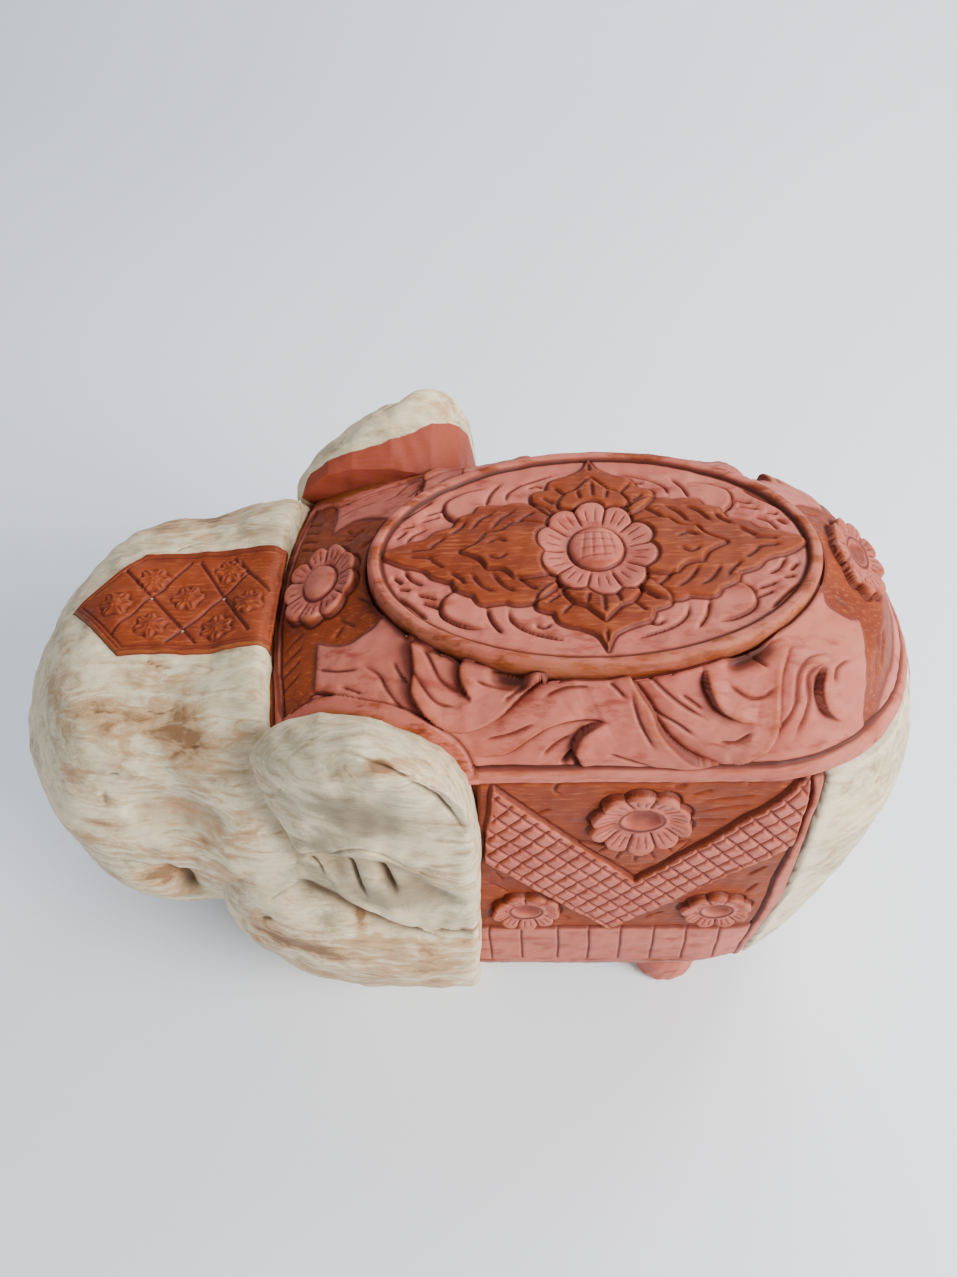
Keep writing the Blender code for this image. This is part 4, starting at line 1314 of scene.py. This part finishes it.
# The forehead plate, as (along, across) in mm.
PLATE_TIP = -161.5
PLATE_REAR = -76.0
PLATE_HALF = 27.0
PLATE_SHOULDER = 26.0
PLATE_LINES = (
    ((-142, -21), (-115, 20)), ((-142, 17), (-106, -22)), ((-117, -22), (-90, 12)),
    ((-111, 20), (-85, -19)), ((-158, 3), (-146, 12)), ((-97, 21), (-80, 2)),
)
PLATE_ROSES = (
    (-141, -2.5), (-124.5, -14), (-113, 1), (-98.5, -15), (-97.5, 14.5), (-87.5, -4), (-128.5, 10.5),
)


def plate_edge(a, b):
    """Distance in from the plate's outline."""
    slanted = (a - PLATE_TIP) * PLATE_HALF - np.abs(b) * PLATE_SHOULDER
    return np.minimum(PLATE_HALF - np.abs(b), slanted / math.hypot(PLATE_HALF, PLATE_SHOULDER))


def carve_plate(carving):
    a = carving.a
    b = carving.b
    edge = plate_edge(a, b)
    # Painted shade darkens the rose rims and rays, the lines, the inset outlines and the plate's edge.
    carving.rust[:] = 1.0
    carving.height[:] = 0.3
    within = smooth(3.0, 4.0, edge)
    for i, (rose_a, rose_b) in enumerate(PLATE_ROSES):
        angle = np.arctan2(b - rose_b, a - rose_a) + 0.5 * i
        radius = np.hypot(a - rose_a, b - rose_b)
        petals = 0.5 + 0.5 * np.cos(angle * 6 + 0.8 * np.sin(angle * 2 + i))
        size = 4.8 + 1.5 * petals
        within_rose = smooth(1.0, -0.6, radius - size)
        carving.height += (0.5 + 0.5 * petals + 0.5 * np.exp(-(radius / 2.2) ** 2)) * within_rose
        rim = np.exp(-1.6 * ((radius - size - 0.5) / 0.9) ** 2) * (1 - 0.6 * petals)
        carving.height -= 0.8 * rim
        rays = np.exp(-1.6 * (np.sin(angle * 3 + 0.4 * np.sin(angle * 2 + i)) * radius / 1.6) ** 2)
        rays *= smooth(1.6, 3.0, radius) * smooth(7.6, 6.0, radius)
        carving.height -= 0.7 * rays
        carving.cut = np.maximum(carving.cut, np.maximum(0.55 * rim, 0.62 * rays))
    for points in PLATE_LINES:
        line = smooth_curve(straight(points))
        distance, _, _ = line_distance(a, b, line)
        cut = np.exp(-1.6 * (distance / 0.8) ** 2) * within
        carving.height -= 1.1 * cut
        carving.cut = np.maximum(carving.cut, 0.8 * cut)
    for inset, deep in ((3.6, 0.8), (2.0, 0.35)):
        line = np.exp(-1.6 * ((edge - inset) / 0.5) ** 2)
        carving.height -= deep * line
        carving.cut = np.maximum(carving.cut, 0.6 * line)
    carving.cut = np.maximum(carving.cut, 0.5 * smooth(0.9, 0.1, edge))
    carving.wear_and_shade = np.maximum(carving.wear_and_shade, smooth(1.8, 0.6, edge))
    carving.height += 0.12 * waver(a, b, 9, 95)


def build_plate(head_mesh, material):
    mesh, order, u, v = sheet(178, 124)
    a = PLATE_TIP + u * (PLATE_REAR - PLATE_TIP)
    half = PLATE_HALF * np.clip((a - PLATE_TIP) / PLATE_SHOULDER, 0.02, 1)
    b = (v * 2 - 1) * half
    carving = Carving(a, b)
    carve_plate(carving)
    tree = BVHTree.FromPolygons([vertex.co for vertex in head_mesh.vertices],
                                [face.vertices for face in head_mesh.polygons])
    z = np.empty_like(a)
    for row in range(a.shape[0]):
        for column in range(a.shape[1]):
            start = Vector((a[row, column] * MM, b[row, column] * MM, 0.3))
            hit = tree.ray_cast(start, Vector((0, 0, -1)))[0]
            if hit and (column == 0 or hit.z > z[row, column - 1] - 0.002):
                z[row, column] = hit.z
            else:
                z[row, column] = z[row, column - 1]
    z = blurred(z, 6)
    edge = plate_edge(a, b)
    rise = smooth(-0.2, 1.2, edge) * 1.3 - 0.1
    z = z + (carving.height + rise) * MM * smooth(-0.5, 1.0, edge)
    write_points(mesh, order, np.stack((a * MM, b * MM, z), -1))
    write_carving(mesh, carving, order)
    bm, back = close_back(mesh, lambda co: (0, 0, -0.003))
    seal(bm, mesh, back)
    place("forehead_plate", mesh, material, ["head_block"])


# Where the ear meets the blanket: along, across and height of the meeting line, in mm.
EAR_JOIN = (
    (-84, 73.5, 204), (-72, 68.4, 218.5), (-62, 65.0, 225), (-51, 64.3, 226.6), (-34, 65.6, 225),
    (-16.5, 69.0, 219.3), (-9.6, 70.9, 214.7), (-4.4, 72.9, 209), (-0.5, 74.4, 201.7), (1.6, 76.2, 190.7),
    (5.0, 76.8, 160),
)
EAR_CREASES = (
    (((-41, -87, 238), (-33, -91, 239), (-27, -93.4, 239), (-21, -97, 238), (-15, -99, 233), (-9, -99.4, 224),
      (-4.5, -99.6, 214.6), (0.7, -99.6, 203)), 1.1, 1.4, 1.0, 1.2, 4),
    (((-7.6, -96, 239), (-6.6, -98, 237), (-8.6, -99, 235), (-11.4, -99, 235)), 0.6, 0.6, 0.85, 0.0, 8),
    (((-71, -84, 161), (-62, -88.5, 168), (-53, -91, 171), (-46, -95, 181), (-39, -97, 185), (-33, -98, 184),
      (-24.6, -98.4, 177), (-14, -99, 168), (0, -99, 163)), 1.3, 1.9, 0.55, 0.0, 8),
    (((-64, -87, 158), (-52, -92, 162), (-40, -95, 168), (-28, -97, 164), (-14, -98, 152), (0, -98, 146)),
     5.0, 1.0, 0.08, 3.8, 10),
    (((-60.5, -90, 167), (-59, -91, 162), (-57, -90, 155)), 1.3, 2.8, 1.0, 0.6, 3),
    (((-49.5, -91, 170), (-45, -91.5, 162), (-39.5, -95, 149)), 1.4, 3.2, 1.0, 0.6, 3),
    (((-38, -95, 172), (-33, -94, 163), (-27.5, -96, 151)), 2.2, 3.8, 1.0, 1.0, 4),
    (((-24, -97, 119), (-12, -99, 118.5), (3, -99, 119)), 2.4, 1.6, 0.8, 1.6, 6),
)
# Edge of the painted band inside the far ear: distance out at places along, in mm.
EAR_BAND_EDGE = ((-80, 60), (-70, 70), (-60, 71), (-50, 71), (-38, 73), (-24, 79), (-10, 87), (4, 97))
# Stains on the ears; negative amounts are painted shade on the ear's face and its lower part.
EAR_STAINS_AND_SHADE = (
    ((-36, -96, 204), (24, 16, 22), -0.95), ((-30, -96, 150), (34, 14, 12), -0.9),
    ((-60, -90, 178), (16, 14, 14), -0.6), ((-27, -94, 240), (4.5, 4, 2), 2.4),
    ((-20, -94, 238), (15, 8, 6), 0.8), ((-8, -97, 222), (7, 6, 14), 0.6),
    ((-24, -98, 190), (12, 8, 8), 0.6), ((-8, -98, 168), (10, 8, 10), 0.7), ((2, -98, 122), (6, 6, 4), 1.9),
    ((-52, -94, 200), (12, 8, 6), 0.4), ((-62, -86, 190), (7, 8, 12), 0.5),
    ((-34, -97, 164), (16, 8, 5), 0.4), ((-50, 88, 236), (22, 9, 10), 0.9),
    ((-16, 92, 242), (10, 8, 4), 1.7), ((-30, 86, 238), (24, 8, 5), 0.8),
)
LEG_CREASES = (
    (((-72, -84, 139), (-67, -86, 137), (-56, -89, 131), (-45, -92, 124), (-30, -95, 117), (-15, -97, 115),
      (0, -99, 116)), 2.6, 1.4, 0.85, 2.4, 7),
    (((-68, -86, 137), (-75, -87, 132), (-84, -88, 125)), 1.0, 0.8, 0.5, 0.3, 6),
    (((-82, -93, 116), (-90, -92, 111)), 1.5, 1.4, 0.85, 0.6, 5),
)
# Stains on the front legs; the low ones also paint the lower leg darker as painted shade, and the negative
# ones paint shade under the ear.
LEG_STAINS_AND_SHADE = (
    ((-40, -99, 100), (34, 10, 9), 0.55), ((-14, -100, 103), (18, 9, 8), 0.45),
    ((-72, -94, 102), (22, 12, 9), 0.5), ((-92, -86, 104), (14, 14, 9), 0.5),
    ((-58, -92, 120), (12, 8, 5), -0.5), ((-30, -96, 114), (14, 8, 3), -0.8),
    ((-45, -93, 120), (2.6, 6, 8), 2.4), ((-40, -98, 92), (30, 12, 9), 0.5),
    ((-18, -99, 86), (24, 10, 7), 0.8), ((-66, -96, 98), (16, 10, 6), 1.0),
    ((-84, -92, 96), (14, 10, 7), 1.0), ((-98, -88, 84), (12, 10, 8), 0.9),
    ((-60, -94, 70), (30, 14, 12), 0.9), ((-20, -98, 66), (26, 12, 12), 0.9),
    ((-30, -96, 110), (26, 8, 5), 0.9), ((-88, -88, 112), (12, 12, 8), 0.7),
    ((2, -99, 112), (6, 8, 6), 1.2),
)


def build_ears(material):
    join = np.array(EAR_JOIN)
    for word, side in (("left", -1), ("right", 1)):
        sculpt = Sculpt(soft_copy(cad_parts[f"{word}_ear"], 0.0013, 8))
        x, y, z = sculpt.points.T
        out = np.abs(y)
        out = out - 5.5 * smooth(80, 70, out) * smooth(198, 214, z)
        if side > 0:
            x = x + 8.0 * smooth(-62, -6, x) * smooth(170, 215, z)
        start = np.interp(x, join[:, 0], join[:, 1])
        top = np.interp(x, join[:, 0], join[:, 2]) + 0.8 * (out - start)
        top = top - 0.006 * np.maximum(out - start, 0) ** 2
        if side > 0:
            z = z + 8.0 * smooth(-58, -8, x) * smooth(185, 232, z)
            top = top + 8.0 * smooth(-58, -8, x)
        over = z - top
        z = z - np.where(over > -4, (np.maximum(over + 4, 0) ** 2) / 16 * (over < 4) + over * (over >= 4), 0)
        sculpt.points = np.stack((x, side * out, z), -1)
        sculpt.mark(EAR_CREASES, EAR_STAINS_AND_SHADE, side)
        sculpt.bulge((-34, side * 97, 208), (24, 12, 22), -1.6)
        sculpt.bulge((-40, side * 96, 150), (26, 12, 10), 1.6)
        if side > 0:
            band = np.array(EAR_BAND_EDGE)
            edge = np.interp(x, band[:, 0], band[:, 1])
            sculpt.rust += smooth(0.8, -0.8, out - edge) * smooth(200, 206, z)
        sculpt.carve_marks(30, 0.5, 71)
        sculpt.carve_marks(12, 0.2, 73)
        sculpt.done(CAD_BOUNDS[0], CAD_BOUNDS[1])
        place(f"{word}_ear_carving", sculpt.mesh, material, [f"{word}_ear"])


def build_legs(material, foot_material):
    for word, side in (("left", -1), ("right", 1)):
        sculpt = Sculpt(soft_copy(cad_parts[f"{word}_front_leg"], 0.0026, 5))
        x, y, z = sculpt.points.T
        lean = smooth(-42, -100, x) * smooth(126, 92, z) * smooth(60, 80, np.abs(y))
        sculpt.points[:, 1] -= side * 10.0 * lean
        sculpt.mark(LEG_CREASES, LEG_STAINS_AND_SHADE, side)
        sculpt.carve_marks(40, 0.8, 81)
        sculpt.carve_marks(14, 0.25, 83)
        sculpt.done(CAD_BOUNDS[0], CAD_BOUNDS[1])
        place(f"{word}_leg_carving", sculpt.mesh, material, [f"{word}_front_leg"])
        sculpt = Sculpt(soft_copy(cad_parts[f"{word}_hind_foot"], 0.0012, 4))
        sculpt.carve_marks(12, 0.4, 91)
        sculpt.rust += 0.25
        sculpt.done(CAD_BOUNDS[0], CAD_BOUNDS[1])
        place(f"{word}_foot_carving", sculpt.mesh, foot_material, [f"{word}_hind_foot"])


# ---------------------------------------------------------------- studio

def area_light(name, where, aim, size, power, colour):
    lamp = bpy.data.lights.new(name, "AREA")
    lamp.shape = "DISK"
    lamp.size = size
    lamp.energy = power
    lamp.color = colour
    rig = bpy.data.objects.new(name, lamp)
    rig.location = where
    rig.rotation_euler = (Vector(aim) - Vector(where)).to_track_quat("-Z", "Y").to_euler()
    bpy.context.scene.collection.objects.link(rig)


def build_studio():
    bm = bmesh.new()
    bmesh.ops.create_grid(bm, x_segments=1, y_segments=64, size=3.0)
    for vertex in bm.verts:
        past = max(vertex.co.y - 1.0, 0.0)
        bend = min(past / 1.2, math.pi / 2)
        if past:
            vertex.co.y = 1.0 + 1.2 * math.sin(bend)
            vertex.co.z = 1.2 * (1 - math.cos(bend)) + max(past - 1.2 * math.pi / 2, 0)
    mesh = bpy.data.meshes.new("backdrop")
    bm.to_mesh(mesh)
    bm.free()
    mesh.shade_smooth()
    mix = Mix("backdrop", 0.42, 0.3)
    mesh.materials.append(mix.finish(linear(238, 241, 247)))
    backdrop = bpy.data.objects.new("backdrop", mesh)
    bpy.context.scene.collection.objects.link(backdrop)
    area_light("window_right", (1.25, -0.75, 1.0), (0.05, 0, 0.1), 1.0, 62, (1.0, 0.985, 0.96))
    area_light("window_back", (0.9, 1.0, 1.3), (0.1, 0.1, 0.15), 1.2, 25, (0.97, 0.985, 1.0))
    area_light("fill_left", (-1.4, -0.7, 1.0), (0, 0, 0.1), 1.5, 6, (0.93, 0.96, 1.0))
    world = bpy.data.worlds.new("room")
    world.use_nodes = True
    world.node_tree.nodes["Background"].inputs["Color"].default_value = (0.80, 0.88, 1.0, 1)
    world.node_tree.nodes["Background"].inputs["Strength"].default_value = 0.53
    bpy.context.scene.world = world


def build_camera():
    lens = bpy.data.cameras.new("camera")
    lens.lens = 27
    lens.sensor_width = 36
    camera = bpy.data.objects.new("camera", lens)
    camera.location = (0.004, -0.259, 0.4985)
    camera.rotation_euler = (math.radians(40), 0, 0)
    bpy.context.scene.collection.objects.link(camera)
    bpy.context.scene.camera = camera


seat_paint = carved_paint("seat_paint")
blanket_paint = carved_paint("blanket_paint")
build_seat(seat_paint)
build_blanket_top(blanket_paint)
build_side_panel("left", -1, blanket_paint)
build_side_panel("right", 1, blanket_paint)
whitewashed = whitewash("whitewashed_wood")
build_body_core(whitewashed)
build_plate(build_head(whitewashed), carved_paint("plate_paint"))
build_ears(whitewashed)
build_legs(whitewashed, carved_paint("foot_paint"))
finish_dowels(raw_wood("raw_dowel"))
build_studio()
build_camera()
